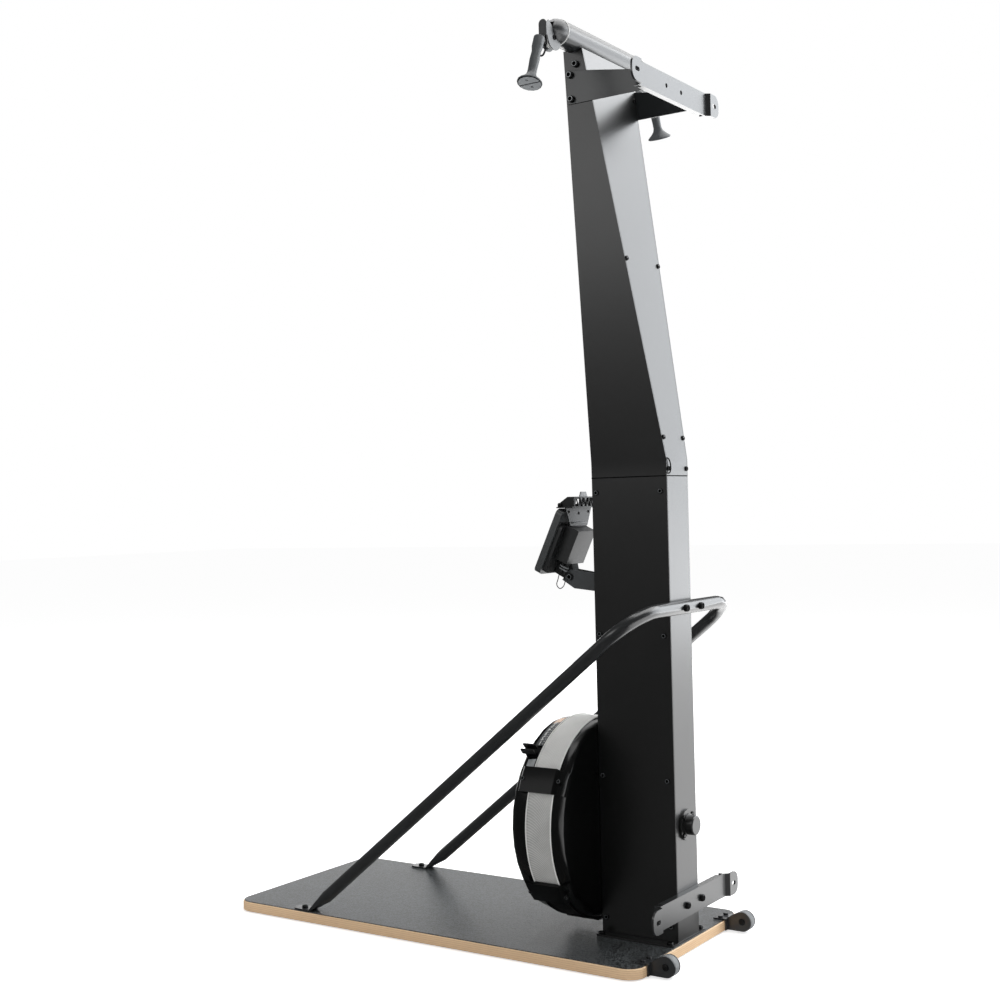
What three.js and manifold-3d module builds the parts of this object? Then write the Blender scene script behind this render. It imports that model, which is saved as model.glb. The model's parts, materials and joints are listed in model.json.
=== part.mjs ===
// Ski trainer machine on a floor deck, in millimetres, +Z up.
// A sheet-metal column carries a crossbar with two swivelling cord pulleys, two pull handles,
// a caged air-brake flywheel, a tilting monitor, two wall brackets and a bent-tube strut frame.
// The user stands on the deck at -Y and faces +Y. The origin is on the floor, under the middle.
import * as THREE from 'three';
import { mergeVertices } from 'three/addons/utils/BufferGeometryUtils.js';
import Module from 'manifold-3d';

const wasm = await Module();
wasm.setup();

// Clearances and working allowances
const gap = 0.3;
const overrun = 6;
const seat = 0.3;

// Deck: plywood board, grip sheet, rubber pads under it
const deckWidth = 540;
const deckLength = 1200;
const plyThickness = 24;
const gripThickness = 2;
const deckCorner = 42;
const deckEdgeRound = 2;
const gripInset = 1.5;
const padRadius = 20;
const padThickness = 3;
const padInset = 60;

// Foot plate under the column
const footWidth = 172;
const footThickness = 4;
const footOverlap = 2;
const footCorner = 8;
const footBoltInset = 10;

// Lower column: folded frame with screwed side panels
const columnWidth = 108;
const columnDepth = 201;
const columnSetback = 8;
const lowerHeight = 1080;
const frameSheet = 2.5;
const panelSheet = 2;
const panelScrewFront = 12;
const panelScrewRear = 17.5;
const panelScrewEnd = 35;
const panelScrewRows = 4;
const windowMargin = 36;
const windowRib = 60;

// Upper column: flares in width and thins in depth towards the crossbar
const kneeRise = 38;
const upperRise = 970;
const topHalfWidth = 120;
const topDepth = 50.4;
const frontLean = 10;
const coverSheet = 2;
const lipWidth = 14;
const coverScrewInset = 8;
const coverScrewStart = 90;
const coverScrewEnd = 78;
const coverScrewRows = 3;
const seamBoltRise = 17;
const seamBoltX = 46;
const sleeveReach = 70;
const sleeveSheet = 3;

// Crossbar tube and its idler pulleys
const crossRadius = 30.15;
const crossWall = 3;
const crossHalf = 182;
const crossSink = 6.5;
const saddleDepth = 56;
const saddleBoltDrop = 35;
const idlerRadius = 15.5;
const idlerCordRadius = 14;
const idlerWidth = 8;
const idlerOut = 18;
const idlerPin = 3;
const cordSlotHalf = 36;
const cordSlotWidth = 12;

// Pulley swivels at the ends of the crossbar
const ringThickness = 2.5;
const ringBore = 24;
const capReach = 42;
const capRadius = 30;
const capWall = 3;
const capSlotStart = 3;
const forkWidth = 21;
const forkSheet = 2.5;
const forkStart = 4;
const forkReach = 66;
const forkTop = 14;
const forkLip = 24;
const forkRound = 29;
const endPulleyOut = 32.2;
const endPulleyDrop = 21.8;
const endPulleyRadius = 22;
const endPulleyWidth = 12;
const endCordRadius = 19;
const pinRadius = 3;
const pinHead = 5;
const pinHeadHeight = 1.5;

// Handles: a moulded stem with a wide oval foot
const cordRadius = 2.2;
const handleTilt = 22;
const handleHeadOut = 80.5;
const handleHeadDrop = 32;
const handleLength = 124;
const headRadius = 13;
const headLength = 26;
const neckRadius = 10.5;
const gripSwell = 11.5;
const handleFootLong = 28;
const handleFootWide = 29.5;
const handleFootEdge = 3;
const flareLength = 24;
const pullRouteShares = [[0, 0], [0.03, 0.3], [0.2, 0.66], [0.55, 0.92], [1, 1]];

// Wall brackets and the arms that carry the upper one
const wallFaceY = 18;
const bracketJoggle = 10;
const bracketSheet = 5;
const bracketHeight = 55;
const bracketDepth = 15.7;
const earHoleX = 196;
const earReach = 24;
const earHoleRadius = 5;
const earSlot = 10;
const earCorner = 22;
const joggleX = 172;
const joggleWidth = 8;
const flangeHalf = 150;
const flangeSheet = 4;
const bracketHoleX = 37.5;
const bracketHoleRadius = 5.5;
const bracketDrop = 102.5;
const lowerBracketZ = 115;
const armSheet = 3;
const armFrontHeight = 78;
const armFrontInset = 5;
const armTopFlat = 16;
const armBoltInset = 11;

// Strut frame of bent round tube
const strutRadius = 15.9;
const strutHalf = 248;
const strutBend = 92;
const strutAngle = 38.9;
const strutHeight = 803;
const strutBoltX = 38;
const strutFootLength = 54;
const strutFootSheet = 4;
const strutFootWidth = 36;
const strutFlatten = 62;
const strutSides = 10;
const strutFootBend = 12;
const strutFlatShare = 0.06;
const toeShare = 0.9;

// Flywheel drum, its clips and its inlet grille
const axleHeight = 293;
const axleRadius = 8;
const drumRadius = 240;
const drumDepth = 141.7;
const seamRear = 22.7;
const seamFront = 91.3;
const rimTaper = 6;
const rimLength = 29.4;
const shoulderRound = 22;
const backRound = 23;
const meshSheet = 1.5;
const shellWall = 3;
const inletRadius = 128;
const grilleThickness = 5;
const grilleHub = 46;
const grilleRim = 7;
const grilleSlots = 20;
const grilleSlotShare = 0.62;
const grilleSleeve = 40;
const grilleSleeveDepth = 16;
const clipArc = 14;
const clipProud = 9.5;
const clipSheet = 4;
const clipTabLength = 20;
const clipTabSink = 18;
const clipFront = 24.4;
const clipHigh = 28.5;
const clipLow = 37.5;

// Fan
const fanRadius = 212;
const fanPlate = 4;
const fanBack = 13;
const fanBlades = 18;
const fanBladeSheet = 2;
const fanBladeInner = 128;
const fanBladeWidth = 68;
const fanBladeLean = 28;
const fanHubRadius = 26;
const fanHubLength = 60;
const fanWindows = 6;
const fanWindowInner = 44;
const fanWindowOuter = 108;
const fanWindowShare = 0.7;

// Damper ring with its rim lever
const damperSheet = 4;
const damperOuter = 124;
const damperClearance = 2;
const damperWindows = 8;
const damperWindowShare = 0.5;
const damperWindowInner = 54;
const damperWindowOuter = 114;
const leverAngle = 46;
const leverTravel = 60;
const leverWidth = 20;
const leverSheet = 4;
const leverSetback = 5.5;
const leverReach = 252;
const finRise = 18;
const finDepth = 36;
const finForward = 9;
const finSheet = 4;
const slotMargin = 3;

// Cord spools, axle and bearings
const spoolFlange = 32;
const spoolFlangeSheet = 3;
const spoolWidth = 20;
const spoolNear = 87;
const spoolPitch = 32;
const spoolCordRadius = 25;
const bearingOuter = 17;
const bearingWidth = 9;
const housingFlange = 36.5;
const housingFlangeSheet = 5;
const housingCollar = 26.5;
const housingCollarLength = 8;
const housingBoss = 23;
const housingLength = 27;
const housingEnd = 4;
const housingScrewCircle = 31;
const axleEndGap = 5;

// Monitor, its arm and its phone holder, measured from the tilt pivot
const monitorTilt = 25.5;
const pivotForward = 89;
const pivotHeight = 872;
const pivotRadius = 5;
const monitorWidth = 130;
const monitorDrop = 18;
const monitorRise = 150;
const monitorFace = 75.5;
const monitorThickness = 18;
const monitorCorner = 12;
const screenWidth = 104;
const screenHeight = 84;
const screenRecess = 2.5;
const lensSheet = 1.5;
const screenTop = 12;
const buttonRadius = 6;
const buttonPitch = 30;
const buttonCount = 3;
const buttonRise = 14;
const buttonDepth = 9;
const buttonTravel = 1.5;
const buttonProud = 2.5;
const coverWidth = 118;
const coverDepth = 11;
const coverDrop = 10;
const batteryWidth = 81;
const batteryBottom = 30;
const batteryTop = 118;
const batteryRear = 10;
const plugRadius = 4.5;
const plugLength = 32;
const plugX = 24;
const plugPitch = 13;
const leadRadius = 1.1;
const plugEndShare = 0.4;
const leadRoute = [[3, -12], [-1, -26], [-12, -33], [-21, -24], [-17, -10]];
const tongueHalf = 14;
const tongueRound = 12;
const armHalf = 14.5;
const armPlate = 3;
const armDrop = 36;
const armBaseHeight = 41;
const armKnee = 78;
const armKneeRise = 8;
const armTip = 112;
const armTipRise = 29;
const armCrown = 55;

// Phone holder
const holderPlate = 2.5;
const holderPlateBehind = 16;
const holderPlateLow = 125;
const holderPlateHalfLow = 40;
const holderPlateHalf = 61;
const holderFloorRise = 168.5;
const holderFloor = 3;
const holderHalf = 52;
const holderFront = 8;
const holderRear = 37;
const holderLip = 7;
const holderWallRise = 24;
const holderBays = 5;
const holderRib = 3;
const clampHalf = 20;
const clampSheet = 2.5;
const clampRise = 36;
const clampTopHalf = 12;
const clampChamfer = 15;
const clampHook = 18;

// Transport wheels
const wheelX = 200;
const wheelBehind = 41;
const wheelHeight = 24.5;
const wheelRadius = 24;
const wheelWidth = 20;
const wheelGroove = 1.5;
const cheekRadius = 23.5;
const cheekSheet = 2.5;
const cheekGap = 0.5;
const wheelPlateWidth = 48;
const wheelPlateLength = 30;
const wheelPlateSheet = 3;
const wheelPin = 4;

// Screw and bolt heads
const screwRadius = 5.2;
const screwHeight = 2.8;
const boltRadius = 7;
const boltHeight = 4.5;
const crownShare = 0.75;
const toeTipShare = 0.6;
const boltShare = 0.6;

// Facets on round work
const fineSides = 32;
const roundSides = 16;
const smallSides = 12;
const headSides = 6;
const arcSteps = 3;

// Places worked out from the sizes above. Y is counted from the rear edge of the deck.
const deckTop = plyThickness + gripThickness;
const columnBase = deckTop + footThickness;
const columnRear = -columnSetback;
const columnFront = columnRear - columnDepth;
const columnMid = (columnRear + columnFront) / 2;
const seamZ = columnBase + lowerHeight;
const kneeZ = seamZ + kneeRise;
const topZ = kneeZ + upperRise;
const topRear = columnFront - frontLean + topDepth;
const upperBracketZ = topZ - bracketDrop;
const crossZ = topZ + crossRadius - crossSink;
const crossY = columnFront - frontLean + topDepth / 2;
const axleZ = axleHeight;
const drumBack = columnFront - gap;
const drumFace = drumBack - drumDepth;
const swivelX = crossHalf + ringThickness + 2 * gap;
const pivotY = columnFront - pivotForward;
const armBase = pivotHeight - armDrop;
const rearReach = Math.max(wheelBehind + wheelRadius, wallFaceY);
const originShift = (deckLength - rearReach) / 2;

// Finishes
const finish = (color, roughness, metalness) => (
  new THREE.MeshStandardMaterial({ color, roughness, metalness }));
const blackCoat = finish(0x26282a, 0.5, 0.4);
const greyCoat = finish(0x8d9092, 0.45, 0.5);
const strutCoat = finish(0x44474a, 0.4, 0.5);
const shellPlastic = finish(0x17191a, 0.4, 0);
const darkPlastic = finish(0x1e2022, 0.55, 0);
const gripRubber = finish(0x5a5d5f, 0.8, 0);
const birch = finish(0xd9b184, 0.6, 0);
const gripSheetFinish = finish(0x4a4c4e, 0.9, 0);
const zincSteel = finish(0xb4b6b8, 0.35, 0.9);
const blackSteel = finish(0x101112, 0.4, 0.8);
const wireCloth = finish(0xb9bab6, 0.4, 0.8);
const nylon = finish(0xe8e8e6, 0.5, 0);
const cordFinish = finish(0x202224, 0.9, 0);
const glass = finish(0x3b4440, 0.1, 0);
const treadRubber = finish(0x85878a, 0.8, 0);

const radians = THREE.MathUtils.degToRad;
const vector = (x, y, z) => new THREE.Vector3(x, y, z);
const each = (count, make) => Array.from({ length: count }, (_, i) => make(i));

// Welds shared corners, drops slivers and turns the faces outwards
function closed(geometry) {
  const bare = new THREE.BufferGeometry();
  bare.setAttribute('position', geometry.getAttribute('position').clone());
  if (geometry.getIndex()) bare.setIndex(geometry.getIndex().clone());
  const welded = mergeVertices(bare);
  const corners = welded.getIndex().array;
  const places = welded.getAttribute('position').array;
  const faces = [];
  const corner = (i) => vector(0, 0, 0).fromArray(places, i * 3);
  let volume = 0;
  for (let i = 0; i < corners.length; i += 3) {
    const [a, b, c] = [corners[i], corners[i + 1], corners[i + 2]];
    if (a === b || b === c || c === a) continue;
    faces.push([a, b, c]);
    volume += corner(a).dot(corner(b).cross(corner(c)));
  }
  const outward = volume < 0 ? faces.map(([a, b, c]) => [a, c, b]) : faces;
  const result = new THREE.BufferGeometry();
  result.setAttribute('position', new THREE.Float32BufferAttribute(places, 3));
  result.setIndex(outward.flat());
  return result;
}

function solid(geometry) {
  const body = closed(geometry);
  return new wasm.Manifold(new wasm.Mesh({
    numProp: 3,
    vertProperties: new Float32Array(body.getAttribute('position').array),
    triVerts: new Uint32Array(body.getIndex().array),
  }));
}

function surface(manifold) {
  const mesh = manifold.getMesh();
  const result = new THREE.BufferGeometry();
  result.setAttribute('position', new THREE.Float32BufferAttribute(mesh.vertProperties, 3));
  result.setIndex(new THREE.Uint32BufferAttribute(mesh.triVerts, 1));
  return result;
}

const joined = (...pieces) => surface(pieces.map(solid).reduce((sum, piece) => sum.add(piece)));
const cut = (base, ...tools) => (
  surface(tools.map(solid).reduce((rest, piece) => rest.subtract(piece), solid(base))));
const kept = (base, keeper) => surface(solid(base).intersect(solid(keeper)));

// A block between two corners
function block([x0, x1], [y0, y1], [z0, z1]) {
  const box = new THREE.BoxGeometry(Math.abs(x1 - x0), Math.abs(y1 - y0), Math.abs(z1 - z0));
  return box.translate((x0 + x1) / 2, (y0 + y1) / 2, (z0 + z1) / 2);
}

// Turns work that was made about Y so that its axis runs the named way
const along = {
  x: (geometry) => geometry.rotateZ(-Math.PI / 2),
  y: (geometry) => geometry,
  z: (geometry) => geometry.rotateX(Math.PI / 2),
  '-x': (geometry) => geometry.rotateZ(Math.PI / 2),
  '-y': (geometry) => geometry.rotateX(Math.PI),
};

// A round bar whose axis starts at a point and runs for a length
function bar(radius, length, axis, [x, y, z], sides = smallSides) {
  const cylinder = new THREE.CylinderGeometry(radius, radius, length, sides).translate(0, length / 2, 0);
  return along[axis](cylinder).translate(x, y, z);
}

// A turned piece: the profile lists radius and distance along the axis
function turned(profile, axis, [x, y, z], sides = roundSides) {
  const points = profile.map(([radius, reach]) => new THREE.Vector2(radius, reach));
  return along[axis](closed(new THREE.LatheGeometry(points, sides))).translate(x, y, z);
}

// A washer-like turned ring
function ring(outer, inner, length, axis, place, sides = roundSides) {
  return turned([[inner, 0], [outer, 0], [outer, length], [inner, length], [inner, 0]], axis, place, sides);
}

// A button head that stands on a face
function head(radius, height, axis, place) {
  return turned([[0, 0], [radius, 0], [radius * crownShare, height], [0, height]], axis, place, headSides);
}

const bolt = (axis, place) => head(boltRadius, boltHeight, axis, place);
const screw = (axis, place) => head(screwRadius, screwHeight, axis, place);

// Fills a ring of points with triangles; a forward fill keeps the ring's own direction
function filled(points, forward) {
  const normal = vector(0, 0, 0);
  points.forEach((point, i) => normal.add(point.clone().cross(points[(i + 1) % points.length])));
  normal.normalize();
  const across = points[1].clone().sub(points[0]).normalize();
  const up = normal.clone().cross(across);
  const flat = points.map((point) => new THREE.Vector2(point.dot(across), point.dot(up)));
  return THREE.ShapeUtils.triangulateShape(flat, []).map(([a, b, c]) => {
    const ahead = flat[b].clone().sub(flat[a]).cross(flat[c].clone().sub(flat[a])) > 0;
    return ahead === forward ? [a, b, c] : [a, c, b];
  });
}

// Rings of points with the same count joined into a closed skin; the end rings are filled
function loft(rings) {
  const count = rings[0].length;
  const places = rings.flat().flatMap((point) => point.toArray());
  const corners = [];
  for (let i = 0; i + 1 < rings.length; i += 1) {
    for (let j = 0; j < count; j += 1) {
      const [a, b] = [i * count + j, i * count + ((j + 1) % count)];
      corners.push(a, b, b + count, a, b + count, a + count);
    }
  }
  const last = (rings.length - 1) * count;
  filled(rings[0], false).forEach((face) => corners.push(...face));
  filled(rings[rings.length - 1], true).forEach((face) => corners.push(...face.map((i) => i + last)));
  const skin = new THREE.BufferGeometry();
  skin.setAttribute('position', new THREE.Float32BufferAttribute(places, 3));
  skin.setIndex(corners);
  return closed(skin);
}

// A shape with corners at pairs of sizes
const outline = (pairs) => new THREE.Shape(pairs.map(([u, v]) => new THREE.Vector2(u, v)));

// Extrudes a shape; the three axes say where its own across, up and depth go
function extruded(shape, depth, axes, curveSegments = arcSteps) {
  const plate = new THREE.ExtrudeGeometry(shape, { depth, bevelEnabled: false, curveSegments });
  return closed(plate.applyMatrix4(new THREE.Matrix4().makeBasis(...axes.map((axis) => vector(...axis)))));
}

const toX = [[0, 1, 0], [0, 0, 1], [1, 0, 0]];
const toY = [[1, 0, 0], [0, 0, 1], [0, 1, 0]];
const toZ = [[1, 0, 0], [0, 1, 0], [0, 0, 1]];

// Plates with their outline in Y-Z, in X-Z and in X-Y
const plateX = (shape, x0, x1, segments) => extruded(shape, x1 - x0, toX, segments).translate(x0, 0, 0);
const plateY = (shape, y0, y1, segments) => extruded(shape, y1 - y0, toY, segments).translate(0, y0, 0);
const plateZ = (shape, z0, z1, segments) => extruded(shape, z1 - z0, toZ, segments).translate(0, 0, z0);

// A rectangle with round corners, about a centre
function rounded(width, height, corner, u = 0, v = 0) {
  const shape = new THREE.Shape();
  const [right, high] = [width / 2 - corner, height / 2 - corner];
  const quarter = Math.PI / 2;
  shape.absarc(u + right, v + high, corner, 0, quarter);
  shape.absarc(u - right, v + high, corner, quarter, 2 * quarter);
  shape.absarc(u - right, v - high, corner, 2 * quarter, 3 * quarter);
  shape.absarc(u + right, v - high, corner, 3 * quarter, 4 * quarter);
  return shape;
}

// A slice of a ring between two angles
function sector(inner, outer, from, to) {
  const shape = new THREE.Shape();
  shape.absarc(0, 0, outer, from, to);
  shape.absarc(0, 0, inner, to, from, true);
  return shape;
}

// A round cord whose rings stand at the points of its route, square to it
function cordAlong(points, radius, sides) {
  const route = points.map((point) => vector(...point));
  let across = vector(0, 1, 0);
  return loft(route.map((point, i) => {
    const ahead = route[Math.min(i + 1, route.length - 1)].clone().sub(route[Math.max(i - 1, 0)]).normalize();
    across = across.clone().addScaledVector(ahead, -across.dot(ahead)).normalize();
    const up = ahead.clone().cross(across);
    return each(sides, (j) => {
      const turn = (j / sides) * 2 * Math.PI;
      return point.clone()
        .addScaledVector(across, radius * Math.cos(turn))
        .addScaledVector(up, radius * Math.sin(turn));
    });
  }));
}

// Points spread evenly along a smooth curve through a few chosen ones
function smoothed(points, count) {
  const curve = new THREE.CatmullRomCurve3(points.map((point) => vector(...point)), false, 'centripetal');
  return curve.getSpacedPoints(count).map((point) => point.toArray());
}

const machine = new THREE.Group();
machine.position.set(0, originShift, padThickness);

function add(name, geometry, material, parent = machine) {
  const mesh = new THREE.Mesh(closed(geometry), material);
  mesh.name = name;
  parent.add(mesh);
  return mesh;
}

const ends = [{ side: 1, label: 'near' }, { side: -1, label: 'far' }];
const both = (make) => ends.map(({ side }) => make(side));

// Deck board, grip sheet and pads
function deck() {
  const shape = (inset) => rounded(deckWidth - 2 * inset, deckLength - 2 * inset, deckCorner - inset,
    0, -deckLength / 2);
  const board = new THREE.ExtrudeGeometry(shape(0), {
    depth: plyThickness - 2 * deckEdgeRound,
    bevelThickness: deckEdgeRound,
    bevelSize: deckEdgeRound,
    bevelOffset: -deckEdgeRound,
    bevelSegments: 1,
    curveSegments: 2 * arcSteps,
  });
  const rows = [-padInset, -deckLength / 2, padInset - deckLength];
  const pads = rows.flatMap((y) => both((side) => (
    bar(padRadius, padThickness + seat, 'z', [side * (deckWidth / 2 - padInset), y, -padThickness]))));
  add('deck_board', joined(board.translate(0, 0, deckEdgeRound), ...pads), birch);
  const sheet = plateZ(shape(gripInset + deckEdgeRound), plyThickness, deckTop, 2 * arcSteps);
  add('deck_grip', sheet, gripSheetFinish);
}

// Foot plate, folded lower frame and its side panels
const frameHalf = columnWidth / 2 - panelSheet - gap;

function lowerColumn() {
  const footLength = columnDepth + 2 * footOverlap;
  const foot = plateZ(rounded(footWidth, footLength, footCorner, 0, columnMid), deckTop, columnBase);
  const footX = footWidth / 2 - footBoltInset;
  const footBolts = [columnRear - footBoltInset, columnFront + footBoltInset].flatMap((y) => (
    both((side) => bolt('z', [side * footX, y, columnBase - seat]))));
  add('base_flange', joined(foot, ...footBolts), blackCoat);
  const inner = frameHalf - frameSheet;
  const outside = block([-frameHalf, frameHalf], [columnFront, columnRear], [columnBase, seamZ]);
  const core = block([-inner, inner], [columnFront + frameSheet, columnRear - frameSheet],
    [columnBase - overrun, seamZ + overrun]);
  const bays = [
    [columnBase + windowMargin, strutHeight - windowRib / 2],
    [strutHeight + windowRib / 2, seamZ - windowMargin],
  ];
  const windows = bays.map((bay) => block([-columnWidth, columnWidth],
    [columnFront + windowMargin, columnRear - windowMargin], bay));
  const holeStart = [0, columnFront - overrun, axleZ];
  const axleHole = bar(bearingOuter, columnDepth + 2 * overrun, 'y', holeStart, roundSides);
  add('lower_column', cut(outside, core, ...windows, axleHole), blackCoat);
  const pitch = (lowerHeight - 2 * panelScrewEnd) / (panelScrewRows - 1);
  const rows = each(panelScrewRows, (i) => seamZ - panelScrewEnd - i * pitch);
  const columns = [columnFront + panelScrewFront, columnRear - panelScrewRear];
  for (const { side, label } of ends) {
    const panel = block([side * (frameHalf + gap), side * columnWidth / 2], [columnFront, columnRear - gap],
      [columnBase + gap, seamZ - gap]);
    const screws = rows.flatMap((z) => columns.map((y) => (
      screw(side > 0 ? 'x' : '-x', [side * (columnWidth / 2 - seat), y, z]))));
    add(`side_panel_${label}`, joined(panel, ...screws), blackCoat);
  }
}

// Half width and the front and rear faces of the upper column at a height
const flareRate = (topHalfWidth - columnWidth / 2) / upperRise;
const rearRate = (topRear - columnRear) / upperRise;
const halfAt = (z) => columnWidth / 2 + Math.max(z - kneeZ, 0) * flareRate;
const rearAt = (z) => columnRear + Math.max(z - kneeZ, 0) * rearRate;
const frontAt = (z) => columnFront - (z - seamZ) * (frontLean / (topZ - seamZ));

// A loft up the column from low to high, whose half width, front and rear follow the height
function columnLoft([low, high], half, front, rear) {
  const heights = low < kneeZ ? [low, kneeZ, high] : [low, high];
  return loft(heights.map((z) => [
    vector(-half(z), front(z), z),
    vector(half(z), front(z), z),
    vector(half(z), rear(z), z),
    vector(-half(z), rear(z), z),
  ]));
}

const inSide = (inset) => (z) => halfAt(z) - inset;
const inFront = (inset) => (z) => frontAt(z) + inset;
const inRear = (inset) => (z) => rearAt(z) - inset;
const coverRecess = coverSheet + gap;

function crossbarSpace() {
  const reach = topHalfWidth + overrun;
  return bar(crossRadius + gap, 2 * reach, 'x', [-reach, crossY, crossZ], fineSides);
}

// Upper column: a shell open at the back between two lips, its rear cover, and the splice sleeve
function upperColumn() {
  const span = [seamZ + gap, topZ];
  const past = [seamZ + gap - overrun, topZ + overrun];
  const inside = columnLoft(past, inSide(frameSheet), inFront(frameSheet), inRear(coverRecess + frameSheet));
  const mouth = columnLoft(past, inSide(lipWidth), inFront(frameSheet), inRear(-overrun));
  const recess = columnLoft(past, inSide(frameSheet), inRear(coverRecess), inRear(-overrun));
  const shell = columnLoft(span, inSide(0), inFront(0), inRear(0));
  const saddleZ = topZ - saddleBoltDrop;
  const saddleBolts = both((side) => bolt(side > 0 ? 'x' : '-x', [0, 0, 0])
    .rotateY(side * Math.atan(flareRate))
    .translate(side * (halfAt(saddleZ) - seat), crossY + boltRadius, saddleZ));
  add('upper_column', joined(cut(shell, inside, mouth, recess, crossbarSpace()), ...saddleBolts), blackCoat);
  const cover = columnLoft(span, inSide(frameSheet + gap), inRear(coverSheet), inRear(0));
  const pitch = (topZ - seamZ - coverScrewStart - coverScrewEnd) / (coverScrewRows - 1);
  const rows = each(coverScrewRows, (i) => seamZ + coverScrewStart + i * pitch);
  const coverScrews = both((side) => [
    screw('y', [side * seamBoltX, columnRear - seat, seamZ + seamBoltRise]),
    ...rows.map((z) => screw('y', [0, 0, 0]).rotateX(Math.atan(rearRate))
      .translate(side * (halfAt(z) - coverScrewInset), rearAt(z) - seat, z)),
  ]).flat();
  add('rear_cover', joined(cut(cover, crossbarSpace()), ...coverScrews), blackCoat);
  const sleeveHalf = frameHalf - frameSheet - gap;
  const sleeveFront = columnFront + frameSheet + gap;
  const sleeveRear = columnRear - coverRecess - frameSheet - gap;
  const sleeveZ = [seamZ - sleeveReach, kneeZ - gap];
  const sleeveCore = block([sleeveSheet - sleeveHalf, sleeveHalf - sleeveSheet],
    [sleeveFront + sleeveSheet, sleeveRear - sleeveSheet], [sleeveZ[0] - overrun, sleeveZ[1] + overrun]);
  const sleeve = block([-sleeveHalf, sleeveHalf], [sleeveFront, sleeveRear], sleeveZ);
  add('splice_sleeve', cut(sleeve, sleeveCore), blackCoat);
}

// Crossbar tube with the cord slot under its middle, the saddle that it is welded on, and end rings
function crossbar() {
  const tubeStart = [-crossHalf, crossY, crossZ];
  const tube = ring(crossRadius, crossRadius - crossWall, 2 * crossHalf, 'x', tubeStart, fineSides);
  const slot = block([-cordSlotHalf, cordSlotHalf], [crossY - cordSlotWidth / 2, crossY + cordSlotWidth / 2],
    [crossZ - crossRadius - overrun, crossZ]);
  const pinHalf = crossRadius - 2 * crossWall;
  const pins = both((side) => bar(idlerPin, 2 * pinHalf, 'y', [side * idlerOut, crossY - pinHalf, idlerZ]));
  add('crossbar', joined(cut(tube, slot), ...pins), greyCoat);
  const span = [topZ - saddleDepth, topZ];
  const past = [span[0] - overrun, span[1] + overrun];
  const inset = frameSheet + gap;
  const rearInset = coverRecess + frameSheet + gap;
  const outside = columnLoft(span, inSide(inset), inFront(inset), inRear(rearInset));
  const core = columnLoft(past, inSide(inset + sleeveSheet), inFront(inset + sleeveSheet),
    inRear(rearInset + sleeveSheet));
  add('saddle_block', cut(outside, core, crossbarSpace()), blackSteel);
  for (const { side, label } of ends) {
    const start = side > 0 ? crossHalf + gap : -crossHalf - gap - ringThickness;
    const washer = ring(crossRadius, ringBore, ringThickness, 'x', [start, crossY, crossZ]);
    add(`bearing_ring_${label}`, washer, nylon);
  }
}

// A pulley with a round cord groove, turned about its own middle
function pulley(rim, cordLine, width, bore, axis, place, sides) {
  const half = width / 2;
  const mouth = cordRadius + 2 * gap;
  const floor = cordLine - cordRadius - gap;
  const profile = [
    [bore, -half], [rim, -half], [rim, -mouth], [floor, -cordRadius],
    [floor, cordRadius], [rim, mouth], [rim, half], [bore, half], [bore, -half],
  ];
  return turned(profile, axis, place, sides);
}

const idlerZ = crossZ - crossRadius + idlerRadius - gap;

// Idlers inside the crossbar, each on its own pin
function idlers() {
  for (const { side, label } of ends) {
    const wheel = pulley(idlerRadius, idlerCordRadius, idlerWidth, idlerPin + gap, 'y',
      [side * idlerOut, crossY, idlerZ], smallSides);
    add(`idler_pulley_${label}`, wheel, nylon);
  }
}

// Swivel ends are built about the crossbar axis, pointing along +X; the far one is turned round
function swivelEnd({ side, label }) {
  const end = new THREE.Group();
  end.position.set(side * swivelX, crossY, crossZ);
  end.rotation.z = side > 0 ? 0 : Math.PI;
  machine.add(end);
  const put = (name, geometry, material) => add(`${name}_${label}`, geometry, material, end);
  put('swivel_cap', swivelCap(), greyCoat);
  put('pulley_fork', pulleyFork(), greyCoat);
  put('end_pulley', pulley(endPulleyRadius, endCordRadius, endPulleyWidth, pinRadius + gap, 'y',
    [endPulleyOut, 0, -endPulleyDrop], roundSides), nylon);
  put('cord_wrap', cordWrap(), cordFinish);
  put('pull_cord', pullCord(), cordFinish);
  put('handle', handle(), gripRubber);
}

// Domed cap, slotted at its nose and underside for the fork
function swivelCap() {
  const quarter = each(roundSides / 4 + 1, (i) => (i / (roundSides / 4)) * (Math.PI / 2));
  const bow = (wall) => quarter.map((turn) => [
    (capRadius - wall) * Math.sin(turn), (capReach - wall) * Math.cos(turn)]);
  const dome = turned([...bow(capWall), ...bow(0).reverse()], 'x', [0, 0, 0]);
  const width = forkWidth / 2 + gap;
  const slot = block([capSlotStart, capReach + overrun], [-width, width],
    [-capRadius - overrun, forkTop + gap]);
  return cut(dome, slot);
}

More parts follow.
